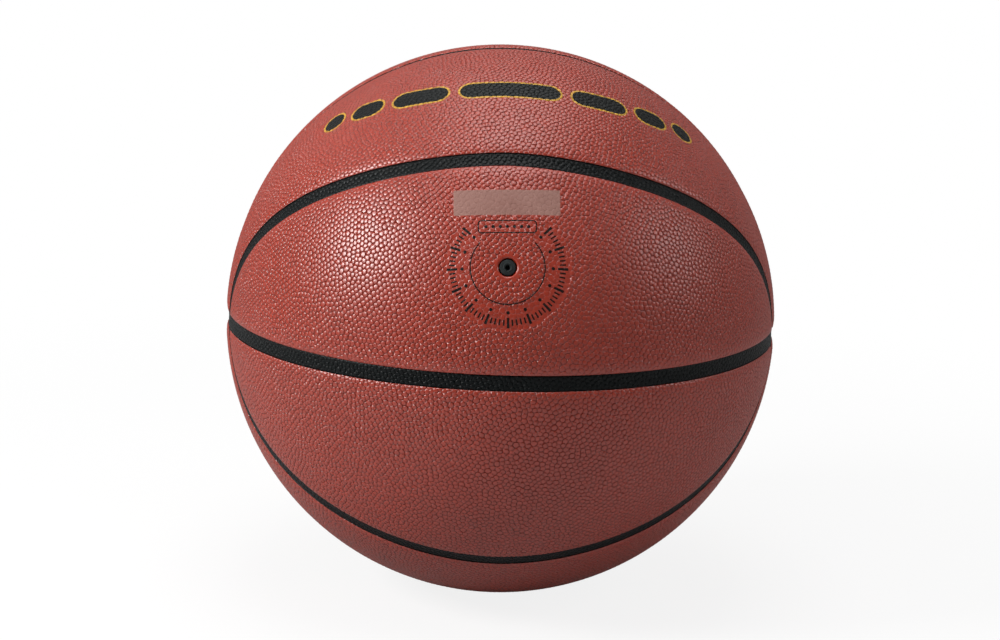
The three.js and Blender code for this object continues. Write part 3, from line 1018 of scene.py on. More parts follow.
@dataclass
class ValvePanel(OvalPanel):
    """The half oval that holds the valve, with the pressed and printed marks round it.

    Attributes:
        valve_latitude: Of the valve, in degrees above the equator.
        hole_radius: Of the hole in the panel, in millimetres.
        lip_width: Of the turned-in leather round the hole.
        lip_drop: Fall of the lip from the face to the hole.
        lip_rows: Distances of the rows of points round the hole.
        lip_smooth: Distances from the hole between which pebbles rise from the smooth lip.
        row_points: Points of a row round the valve for each millimetre of its radius.
        fewest_points: Of such a row.
        circle_radius: Of the thin printed circle.
        circle_line: Width of the circle and of the frame's line.
        circle_sink: Depth of the circle.
        opening: Half of the angle at the top where circle and ring are open, in degrees.
        ring_inner: Radius where the smooth ring starts.
        ring_outer: Radius where it ends.
        ring_sink: Depth of the ring.
        ring_step: Width over which the ring's rims fall.
        ring_ends: Degrees before the opening's edge between which the ring ends.
        tick_radius: Of the middle of the ring's tick marks.
        ticks: Number of tick marks.
        long_tick_every: Every so many ticks, one is long.
        long_tick: Length and width of a long tick.
        short_tick: Length and width of a short tick.
        tick_spacing: Between the points of a tick's outline.
        dot_radius: Of the ring of dots under the long ticks.
        dot: Width of a dot there and in the frame.
        dot_spacing: Between the points of a dot's outline.
        frame_size: Width and height of the rounded frame.
        frame_height: From the valve up to the middle of the frame.
        frame_corner: Radius of the frame's corners.
        frame_dots: Number of dots in the frame.
        patch_size: Width and height of the pale patch.
        patch_height: From the valve up to the middle of the patch.
        patch_corner: Radius of the patch's corners.
        box_fade: Distances past the sides of frame and patch between which pebbles are whole again.
        flattened: Shares of their height that pebbles lose in the ring, the frame and the patch.
        print_turn: Of the marks round the valve, in degrees to the left.
    """

    edge_share: float = 0.5
    edge_fade: float = 5.0
    valve_latitude: float = 22.5
    hole_radius: float = 3.75
    lip_width: float = 1.1
    lip_drop: float = 0.75
    lip_rows: tuple[float, ...] = (0.15, 0.4, 0.75, 1.2)
    lip_smooth: tuple[float, float] = (0.8, 3.0)
    row_points: int = 14
    fewest_points: int = 32
    circle_radius: float = 15.0
    circle_line: float = 0.5
    circle_sink: float = 0.1
    opening: float = 47.0
    ring_inner: float = 16.2
    ring_outer: float = 25.2
    ring_sink: float = 0.2
    ring_step: float = 0.5
    ring_ends: tuple[float, float] = (8.0, 4.0)
    tick_radius: float = 22.3
    ticks: int = 61
    long_tick_every: int = 5
    long_tick: tuple[float, float] = (4.2, 1.0)
    short_tick: tuple[float, float] = (2.4, 0.65)
    tick_spacing: float = 0.4
    dot_radius: float = 18.3
    dot: float = 1.4
    dot_spacing: float = 0.3
    frame_size: tuple[float, float] = (23.8, 5.6)
    frame_height: float = 16.8
    frame_corner: float = 1.5
    frame_dots: int = 7
    patch_size: tuple[float, float] = (43.0, 10.9)
    patch_height: float = 27.2
    patch_corner: float = 0.4
    box_fade: tuple[float, float] = (-0.2, 0.4)
    flattened: tuple[float, float, float] = (0.7, 0.55, 0.8)
    print_turn: float = 1.9

    def axes(self) -> Array:
        """Works out the directions at the valve.

        Returns:
            To the right of the print, up along it and out, as rows.
        """
        right, up, out = Flattening(self.valve_latitude).axes()
        lean = math.radians(self.print_turn)
        level, rise = math.cos(lean), math.sin(lean)
        return np.stack([level * right + rise * up, level * up - rise * right, out])

    def at_valve(self, points: Array) -> Array:
        """Places to the right of and above the valve, in millimetres, seen along its axis."""
        return (points @ self.axes()[:2].T) * self.layout.ball_radius

    def from_valve(self, points: Array) -> tuple[Array, Array]:
        """Distances from the valve, in millimetres, and degrees to either side of straight up."""
        flat = self.at_valve(points)
        return np.linalg.norm(flat, axis=1), np.degrees(np.abs(np.arctan2(flat[:, 0], flat[:, 1])))

    def facing(self, points: Array) -> Array:
        """Whether points lie on the valve's side of the ball."""
        return points @ self.axes()[2] > 0

    def on_face(self, flat: Array) -> Array:
        """Directions of places given to the right of and above the valve, in millimetres."""
        across = flat / self.layout.ball_radius
        out = np.sqrt(1 - (across ** 2).sum(axis=1))
        return np.column_stack([across, out]) @ self.axes()

    def circle(self, radius: float, clockwise: bool = False) -> Array:
        """Draws a circle round the valve.

        Args:
            radius: In millimetres.
            clockwise: Whether it runs that way, seen from outside.

        Returns:
            Directions of its points.
        """
        count = max(self.fewest_points, round(radius * self.row_points))
        turn = np.linspace(0, 2 * math.pi, count, endpoint=False)
        rise = -np.sin(turn) if clockwise else np.sin(turn)
        return self.on_face(radius * np.stack([np.cos(turn), rise], axis=1))

    def holes(self) -> list[Array]:
        """The hole for the valve."""
        return [self.circle(self.hole_radius, clockwise=True)]

    def hole_rows(self) -> list[Array]:
        """Rows round the lip, and rows that give the smooth ring its steps."""
        rows = [self.hole_radius + row for row in self.lip_rows]
        rows += [self.ring_outer, self.ring_outer + self.ring_step]
        return [self.circle(row) for row in rows]

    def edge_distance(self, points: Array) -> Array:
        """Measures from the seams, and for points in the hole from its edge.

        Args:
            points: Directions from the centre.

        Returns:
            Distances in millimetres, negative outside the sheet.
        """
        apart = self.from_valve(points)[0] - self.hole_radius
        outside = super().edge_distance(points)
        near = self.facing(points) & (apart < 0)
        return np.where(near, np.minimum(outside, apart), outside)

    def dot_at(self, place: tuple[float, float]) -> tuple[Array, Ink]:
        """The flat outline and the ink of a dot."""
        return rounded_bar(place, (self.dot, self.dot), self.dot / 2, self.dot_spacing), Ink.BLACK

    def marks(self) -> list[Mark]:
        """Draws the patch, the frame with its dots, the open circle and the tick marks.

        Returns:
            The marks, from the lowest to the topmost.
        """
        line = self.circle_line
        start, end = self.opening, 360 - self.opening
        frame_middle, patch_middle = (0.0, self.frame_height), (0.0, self.patch_height)
        inner = (self.frame_size[0] - 2 * line, self.frame_size[1] - 2 * line)
        flat = [
            (rounded_bar(patch_middle, self.patch_size, self.patch_corner), Ink.PALE),
            (rounded_bar(frame_middle, self.frame_size, self.frame_corner), Ink.BLACK),
            (rounded_bar(frame_middle, inner, self.frame_corner - line), Ink.NONE),
            (arc_band(self.circle_radius, line, start, end), Ink.BLACK),
        ]
        pitch = inner[0] / (self.frame_dots + 1)
        for dot in range(self.frame_dots):
            place = (pitch * (dot - (self.frame_dots - 1) / 2), self.frame_height)
            flat.append(self.dot_at(place))
        for tick in range(self.ticks):
            turn = start + (end - start) * tick / (self.ticks - 1)
            long = tick % self.long_tick_every == 0
            length, width = self.long_tick if long else self.short_tick
            half = math.degrees(width / 2 / self.tick_radius)
            tick_line = arc_band(self.tick_radius, length, turn - half, turn + half, self.tick_spacing)
            flat.append((tick_line, Ink.BLACK))
            if long:
                lean = math.radians(turn)
                place = (self.dot_radius * math.sin(lean), self.dot_radius * math.cos(lean))
                flat.append(self.dot_at(place))
        return [Mark(self.on_face(outline), ink) for outline, ink in flat]

    def pressed(self, points: Array) -> tuple[Array, Array, Array]:
        """Finds how far points lie in the pressed places.

        Args:
            points: Directions from the centre.

        Returns:
            Shares from 0 to 1 for the ring, the frame and the patch.
        """
        flat, facing = self.at_valve(points), self.facing(points)
        radius, turn = self.from_valve(points)
        first, last = (self.opening - end for end in self.ring_ends)
        ring = smooth_step(self.ring_inner - self.ring_step, self.ring_inner, radius)
        ring = ring * (1 - smooth_step(self.ring_outer, self.ring_outer + self.ring_step, radius))
        ring = ring * smooth_step(first, last, turn)
        boxes = []
        for size, height in ((self.frame_size, self.frame_height), (self.patch_size, self.patch_height)):
            beyond = np.abs(flat - [0, height]) - np.array(size) / 2
            boxes.append((1 - smooth_step(*self.box_fade, beyond.max(axis=1))) * facing)
        return ring * facing, boxes[0], boxes[1]

    def share(self, points: Array, edge: Array) -> Array:
        """Lowers the pebbles in the ring, the frame and the patch, and leaves the lip without any.

        Args:
            points: Directions from the centre.
            edge: Their distances from the edge, in millimetres.

        Returns:
            How high the pebbles stand, from 0 to 1.
        """
        low, high = (self.hole_radius + row for row in self.lip_smooth)
        lip = smooth_step(low, high, self.from_valve(points)[0])
        pressed = zip(self.flattened, self.pressed(points))
        ring, framed, patch = (1 - lost * place for lost, place in pressed)
        return super().share(points, edge) * (ring * framed * patch) * lip

    def sink(self, points: Array) -> Array:
        """Presses in the ring and the circle, and rolls in the lip.

        Args:
            points: Directions from the centre.

        Returns:
            Depths in millimetres.
        """
        ring, _, _ = self.pressed(points)
        radius, turn = self.from_valve(points)
        circle = (np.abs(radius - self.circle_radius) < self.circle_line) & (turn > self.opening)
        lip = quarter_round(radius - self.hole_radius, self.lip_width, self.lip_drop)
        return (self.ring_sink * ring + self.circle_sink * circle + lip) * self.facing(points)


@dataclass
class Strip(CoverPiece):
    """A black strip laid in a seam, below the panels.

    Attributes:
        top_radius: Of the top of the strip, in millimetres.
        hollow: Dip along its middle.
        shoulder_drop: Fall from the top to the edge.
        shoulder_width: Width over which the edge falls.
    """

    back_radius: float = 117.25
    edge_rows: tuple[float, ...] = (0.0, 0.15, 0.45)
    edge_share: float = 0.35
    edge_fade: float = 1.4
    top_radius: float = 119.0
    hollow: float = 0.15
    shoulder_drop: float = 0.25
    shoulder_width: float = 0.7

    def crown(self, edge: Array) -> Array:
        """A slightly hollow top between round shoulders."""
        shoulder = quarter_round(edge, self.shoulder_width, self.shoulder_drop)
        middle = smooth_step(0, self.layout.strip_half, edge)
        return self.top_radius - shoulder - self.hollow * middle

    def square_ended(self, there: Array, back: Array) -> Array:
        """One outline of a line there, a line back and straight ends between them."""
        left, right = np.stack([there[-1], back[0]]), np.stack([back[-1], there[0]])
        return self.joined(there, left, back, right)

    def within(self, aside: Array, end: Array) -> Array:
        """Distances from the nearest edge, for distances aside of the seam and from the ends."""
        return np.minimum(self.layout.strip_half - np.abs(aside), end)


@dataclass
class OvalStrip(Strip):
    """The strip in the upper half of the oval seam."""

    def outline(self, inset: float) -> Array:
        """Over the top outside the seam, and back inside it."""
        half, foot = self.layout.strip_half - inset, self.layout.channel_half + inset
        inner = self.layout.over_oval(-half, foot)[::-1]
        return self.level_ended(self.layout.over_oval(half, foot), inner)

    def edge_distance(self, points: Array) -> Array:
        """From the sides and the two ends."""
        end = self.layout.from_equator(points) - self.layout.channel_half
        return self.within(self.layout.from_oval(points), end)


@dataclass
class EquatorStrip(Strip):
    """The strip in the front half of the equator seam."""

    def outline(self, inset: float) -> Array:
        """Goes along the top from the +X end, and back along the foot.

        Args:
            inset: How far the outline is drawn in, in millimetres.

        Returns:
            Directions of its points.
        """
        half = self.layout.strip_half - inset
        end = (self.layout.strip_gap / 2 + inset) / self.layout.ball_radius
        turn = np.linspace(end, math.pi - end, self.layout.line_steps)
        foot = self.layout.beside_equator(turn, -half)[::-1]
        return self.square_ended(self.layout.beside_equator(turn, half), foot)

    def edge_distance(self, points: Array) -> Array:
        """From the sides and the two ends."""
        end = -self.layout.from_meridian(points) - self.layout.strip_gap / 2
        return self.within(self.layout.from_equator(points), end)


@dataclass
class MeridianStrip(Strip):
    """The strip in the upper half of the meridian seam."""

    def outline(self, inset: float) -> Array:
        """Over the top behind the seam, and back in front of it."""
        half, foot = self.layout.strip_half - inset, self.layout.channel_half + inset
        front = self.layout.over_meridian(-half, foot)[::-1]
        return self.square_ended(self.layout.over_meridian(half, foot), front)

    def edge_distance(self, points: Array) -> Array:
        """From the sides and the two ends."""
        end = self.layout.from_equator(points) - self.layout.channel_half
        return self.within(self.layout.from_meridian(points), end)


def linear(hex_colour: str) -> tuple[float, float, float, float]:
    """Turns an sRGB colour into the linear values of a colour socket.

    Args:
        hex_colour: Such as "#8A2B1F".

    Returns:
        Red, green, blue and an alpha of 1.
    """
    values = []
    for start in (1, 3, 5):
        level = int(hex_colour[start:start + 2], 16) / 255
        values.append(level / 12.92 if level <= 0.04045 else ((level + 0.055) / 1.055) ** 2.4)
    return (*values, 1.0)


WHITE = linear("#FFFFFF")
LIT_PAPER = linear("#BABABA")
# The middle of a noise texture's values, where nearly all of them lie
NOISE_SPAN = {"From Min": 0.3, "From Max": 0.7}


def per_metre(size: float) -> float:
    """Scale of a texture whose pattern repeats after a size in millimetres."""
    return 1 / (size * MM)


def empty_tree(owner: bpy.types.Material | bpy.types.World) -> Tree:
    """Gives a material or a world a tree without nodes."""
    owner.use_nodes = True
    owner.node_tree.nodes.clear()
    return owner.node_tree


def add_node(
    tree: Tree, kind: str, settings: dict | None = None, inputs: dict | None = None
) -> bpy.types.Node:
    """Adds a node, sets its options and sets or links its inputs.

    Args:
        tree: The tree that gets the node.
        kind: The node's type name.
        settings: Values of its properties.
        inputs: For each input, by name or number, an output to link or a value to set.

    Returns:
        The new node.
    """
    node = tree.nodes.new(kind)
    for name, value in (settings or {}).items():
        setattr(node, name, value)
    for name, value in (inputs or {}).items():
        if isinstance(value, Socket):
            tree.links.new(value, node.inputs[name])
        else:
            node.inputs[name].default_value = value
    return node


@dataclass(frozen=True)
class Finish:
    """A finish with the settings that every surface of the ball has.

    Attributes:
        name: What the material really is.
        colour: Of the bare face, as an sRGB hex value.
        dark: Of the painted shade in its valleys, and of its pores and darker places at random.
        roughness: From the smoothest to the roughest places.
        shine: Specular level, where 0.5 is a plain dielectric.
        grain: Size of the fine grain, in millimetres.
        grain_height: Relief of the fine grain, in millimetres.
        drift: Size of the slow change of colour, in millimetres.
        ior: Index of refraction.
    """

    name: str
    colour: str
    dark: str
    roughness: tuple[float, float] = (0.5, 0.65)
    shine: float = 0.5
    grain: float = 0.4
    grain_height: float = 0.01
    drift: float = 25.0
    ior: float = 1.5

    def material(self) -> bpy.types.Material:
        """Makes the material: a colour, a roughness and a fine relief from its nodes.

        Returns:
            The new material.
        """
        made = bpy.data.materials.new(self.name)
        tree = empty_tree(made)
        place = add_node(tree, "ShaderNodeTexCoord").outputs["Object"]
        fine = add_node(tree, "ShaderNodeTexNoise", {}, {
            "Vector": place, "Scale": per_metre(self.grain), "Detail": 3.0, "Roughness": 0.6,
        })
        slow = add_node(tree, "ShaderNodeTexNoise", {}, {
            "Vector": place, "Scale": per_metre(self.drift), "Detail": 2.0,
        })
        share = self.dark_share(tree, slow.outputs["Fac"])
        colour = add_node(tree, "ShaderNodeMix", {"data_type": "RGBA"}, {
            "Factor": share, "A": linear(self.colour), "B": linear(self.dark),
        })
        rough = add_node(tree, "ShaderNodeMapRange", {}, {
            "Value": fine.outputs["Fac"], **NOISE_SPAN,
            "To Min": self.roughness[0], "To Max": self.roughness[1],
        })
        shine = self.mirror_level(tree)
        height = self.relief(tree, place, fine.outputs["Fac"])
        bump = add_node(tree, "ShaderNodeBump", {}, {
            "Height": height, "Distance": self.grain_height * MM, "Strength": 1.0,
        })
        shader = add_node(tree, "ShaderNodeBsdfPrincipled", {}, {
            "Base Color": colour.outputs["Result"], "Roughness": rough.outputs["Result"],
            "Specular IOR Level": shine, "IOR": self.ior, "Normal": bump.outputs["Normal"],
        })
        add_node(tree, "ShaderNodeOutputMaterial", {}, {"Surface": shader.outputs["BSDF"]})
        return made

    def dark_share(self, tree: Tree, slow: Socket) -> Socket:
        """How much of the dark colour shows, from 0 to 1."""
        return add_node(tree, "ShaderNodeMapRange", {}, {
            "Value": slow, **NOISE_SPAN, "To Min": 0.0, "To Max": 1.0,
        }).outputs["Result"]

    def relief(self, tree: Tree, place: Socket, fine: Socket) -> Socket:
        """Height of the fine relief, from 0 to 1."""
        return fine

    def mirror_level(self, tree: Tree) -> Socket | float:
        """Specular level of the whole face."""
        return self.shine


@dataclass(frozen=True)
class EmbossedLeather(Finish):
    """Composite leather, embossed with pebbles that the mesh holds.

    Attributes:
        valley_share: Of the dark colour painted as shade at the bottom of the valleys.
        shade_share: Of the dark colour that changes from pebble to pebble.
        drift_share: Of the dark colour that drifts over the ball.
        valley_start: Value of the valley's paint from which the shine falls.
        valley_shine: Specular level at the bottom of the valleys, lowered there as painted shade.
    """

    grain: float = 0.3
    valley_share: float = 0.55
    shade_share: float = 0.18
    drift_share: float = 0.1
    valley_start: float = 0.7
    valley_shine: float = 0.3

    def dark_share(self, tree: Tree, slow: Socket) -> Socket:
        """Darkens the valleys with painted shade, and pebbles and whole places a little at random.

        Args:
            tree: The material's nodes.
            slow: Noise that drifts over the ball.

        Returns:
            The share of the dark colour, from 0 to 1.
        """
        total = None
        # The valley attribute is painted shade; the shade attribute is a random tone of each pebble.
        for name, share in (("valley", self.valley_share), ("shade", self.shade_share)):
            value = add_node(tree, "ShaderNodeAttribute", {"attribute_name": name}).outputs["Fac"]
            total = add_node(tree, "ShaderNodeMath", {"operation": "MULTIPLY_ADD"}, {
                0: value, 1: share, 2: total if total else 0.0,
            }).outputs["Value"]
        drifted = add_node(tree, "ShaderNodeMapRange", {}, {
            "Value": slow, **NOISE_SPAN, "To Min": 0.0, "To Max": self.drift_share,
        })
        return add_node(tree, "ShaderNodeMath", {"operation": "ADD", "use_clamp": True}, {
            0: total, 1: drifted.outputs["Result"],
        }).outputs["Value"]

    def mirror_level(self, tree: Tree) -> Socket | float:
        """Keeps the film's full shine on the pebbles' tops, and lowers it in the valleys as painted shade.

        Args:
            tree: The material's nodes.

        Returns:
            The specular level.
        """
        valley = add_node(tree, "ShaderNodeAttribute", {"attribute_name": "valley"}).outputs["Fac"]
        return add_node(tree, "ShaderNodeMapRange", {}, {
            "Value": valley, "From Min": self.valley_start, "From Max": 1.0,
            "To Min": self.shine, "To Max": self.valley_shine,
        }).outputs["Result"]


# Polyurethane on a fibre base, embossed: a deep red with a satin film that mirrors soft white
PANEL_LEATHER = EmbossedLeather(
    "embossed_composite_leather", "#AD3219", "#5E180B", (0.31, 0.41), shine=1.0, drift=60.0, ior=1.53,
)
# The same leather dyed through in black, with a cold cast where it mirrors the room
CHANNEL_LEATHER = EmbossedLeather(
    "black_channel_leather", "#080E0F", "#040606", (0.36, 0.5), shine=0.24, drift=60.0,
)
# Black screen ink: a dull film that follows the pebbles
BLACK_INK = EmbossedLeather("black_screen_ink", "#101413", "#080A0A", (0.4, 0.55), shine=0.28, drift=20.0)
# Gold screen ink: a warm yellow line, turned brown in the valleys by painted shade
GOLD_INK = EmbossedLeather("gold_screen_ink", "#D9A93A", "#7A4E14", (0.35, 0.5), drift=20.0)
# Thin pale screen ink: uneven, with the red leather showing through
PALE_INK = EmbossedLeather(
    "pale_screen_ink", "#A1776C", "#7C4C42", (0.45, 0.6), shine=0.4, drift=15.0,
    valley_share=0.35, shade_share=0.1, drift_share=0.3,
)
# Moulded rubber of the valve: nearly black, with a soft sheen
VALVE_RUBBER = Finish(
    "moulded_valve_rubber", "#262D2E", "#171B1C", (0.45, 0.6), grain=0.25, grain_height=0.008, drift=3.0,
)
# Moulded rubber of the bladder and the housing: a plain dark grey with a faint sheen
BUTYL_RUBBER = Finish("moulded_butyl_rubber", "#242424", "#161617")
# Rubber sheet rolled over the winding: dull, dark and a little coarse
CARCASS_RUBBER = Finish(
    "calendered_rubber", "#2E2D2B", "#1D1C1B", (0.65, 0.8), shine=0.4, grain=0.6, grain_height=0.02,
)


@dataclass(frozen=True)
class SpongeRubber(Finish):
    """Foamed rubber with small open cells.

    Attributes:
        cell: Size of the cells, in millimetres.
    """

    cell: float = 0.9

    def relief(self, tree: Tree, place: Socket, fine: Socket) -> Socket:
        """Round cells sunk in the face."""
        return add_node(tree, "ShaderNodeTexVoronoi", {}, {
            "Vector": place, "Scale": per_metre(self.cell),
        }).outputs["Distance"]


@dataclass(frozen=True)
class WoundThread(Finish):
    """Thread laid side by side in many directions.

    Attributes:
        thread: Width of a thread, in millimetres.
        wave_rate: Ridges that the wave texture makes over one unit of its scale.
        waver: How far the threads stray from straight.
    """

    thread: float = 0.5
    wave_rate: float = 20.0
    waver: float = 1.5

    def relief(self, tree: Tree, place: Socket, fine: Socket) -> Socket:
        """Crosses two sets of ridges.

        Args:
            tree: The material's nodes.
            place: Object coordinates.
            fine: Noise of the fine grain; not used, as the threads don't show it.

        Returns:
            The height, from 0 to 1.
        """
        ridges = [
            add_node(tree, "ShaderNodeTexWave", {"bands_direction": way}, {
                "Vector": place, "Scale": per_metre(self.thread) / self.wave_rate, "Distortion": self.waver,
            }).outputs["Fac"]
            for way in ("DIAGONAL", "Z")
        ]
        higher = add_node(tree, "ShaderNodeMath", {"operation": "MAXIMUM"}, dict(enumerate(ridges)))
        return higher.outputs["Value"]


# Sponge sheet under the cover: matt, pale and full of cells
SPONGE_RUBBER = SpongeRubber(
    "foamed_sponge_rubber", "#9A9184", "#7C7367", (0.8, 0.95), shine=0.3, grain_height=0.15,
)
# Nylon thread wound over the bladder: pale and faintly glossy along each thread
NYLON_THREAD = WoundThread("wound_nylon_thread", "#DAD5C7", "#B8B09C", grain_height=0.1)


@dataclass
class Cover:
    """The eight panels and eight channel strips."""

    layout: SeamLayout = field(default_factory=SeamLayout)

    def pieces(self) -> dict[str, list[tuple[CoverPiece, list[Quarter]]]]:
        """Lists the shapes of the cover.

        Returns:
            For each kind of piece, its shapes and the quarters that they are copied to.
        """
        others = [Quarter.BACK_UPPER, Quarter.FRONT_LOWER, Quarter.BACK_LOWER]
        every = list(Quarter)
        oval, band = Flattening(22.0), Flattening(62.0)
        level, upright = Flattening(0.0), Flattening(90.0)
        leather = PebbleGrain()
        other_leather = PebbleGrain(seed=21)
        band_leather = PebbleGrain(seed=33)
        strip_leather = PebbleGrain(spacing=2.0, relief=0.24, seed=45)
        return {
            "oval_panel": [
                (ValvePanel(self.layout, leather, oval), every[:1]),
                (OvalPanel(self.layout, other_leather, oval), others),
            ],
            "band_panel": [
                (BandPanel(self.layout, band_leather, band, printed=True), every[:1]),
                (BandPanel(self.layout, band_leather, band), others),
            ],
            "oval_strip": [(OvalStrip(self.layout, strip_leather, oval), every)],
            "equator_strip": [(EquatorStrip(self.layout, strip_leather, level), every[:2])],
            "meridian_strip": [(MeridianStrip(self.layout, strip_leather, upright), [every[0], every[3]])],
        }

    @staticmethod
    def node_name(kind: str, quarter: Quarter) -> str:
        """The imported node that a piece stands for."""
        front_back, upper_lower = quarter.name.lower().split("_")
        ends = {"equator_strip": front_back, "meridian_strip": upper_lower}
        return f"{kind}_{ends.get(kind, quarter.name.lower())}"

    def build(self) -> None:
        """Builds every piece, copies it to its quarters and dresses it."""
        panel_slots = [finish.material() for finish in (PANEL_LEATHER, BLACK_INK, GOLD_INK, PALE_INK)]
        strip_slots = [CHANNEL_LEATHER.material()]
        for kind, shapes in self.pieces().items():
            is_panel = kind.endswith("panel")
            for shape, quarters in shapes:
                model = shape.build(f"{kind}_model")
                for quarter in quarters:
                    self.copy(model, kind, quarter, panel_slots if is_panel else strip_slots,
                              "panel_leather" if is_panel else "strip_leather")
                bpy.data.objects.remove(model)

    def copy(
        self, model: bpy.types.Object, kind: str, quarter: Quarter,
        slots: list[bpy.types.Material], record_slot: str,
    ) -> None:
        """Copies a model to a quarter, with a mesh of its own.

        Args:
            model: The piece in the front upper quarter.
            kind: The kind of piece.
            quarter: Where the copy goes.
            slots: Its materials.
            record_slot: Not used.
        """
        node = self.node_name(kind, quarter)
        piece = bpy.data.objects.new(f"{node}_embossed", model.data.copy())
        piece.data.transform(quarter.turn())
        used = np.zeros(len(piece.data.polygons), np.int32)
        piece.data.polygons.foreach_get("material_index", used)
        for material in slots[: used.max() + 1]:
            piece.data.materials.append(material)
        bpy.context.scene.collection.objects.link(piece)
        finish_piece(piece, Body.BALL, node)


def shade(piece: bpy.types.Object, sharp: float) -> None:
    """Smooths a piece between its sharp edges.

    Args:
        piece: The object.
        sharp: Angle past which an edge stays sharp, in degrees.
    """
    bpy.ops.object.select_all(action="DESELECT")
    piece.select_set(True)
    bpy.context.view_layer.objects.active = piece
    bpy.ops.object.shade_smooth_by_angle(angle=math.radians(sharp))


def finish_piece(piece: bpy.types.Object, body: Body, node: str) -> None:
    """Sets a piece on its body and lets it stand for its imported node.

    Args:
        piece: The finished object.
        body: The body that it moves with.
        node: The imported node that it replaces.
    """
    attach(piece, body.value)
    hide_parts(node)
    log.info("%s: %d triangles", piece.name, len(piece.data.polygons))


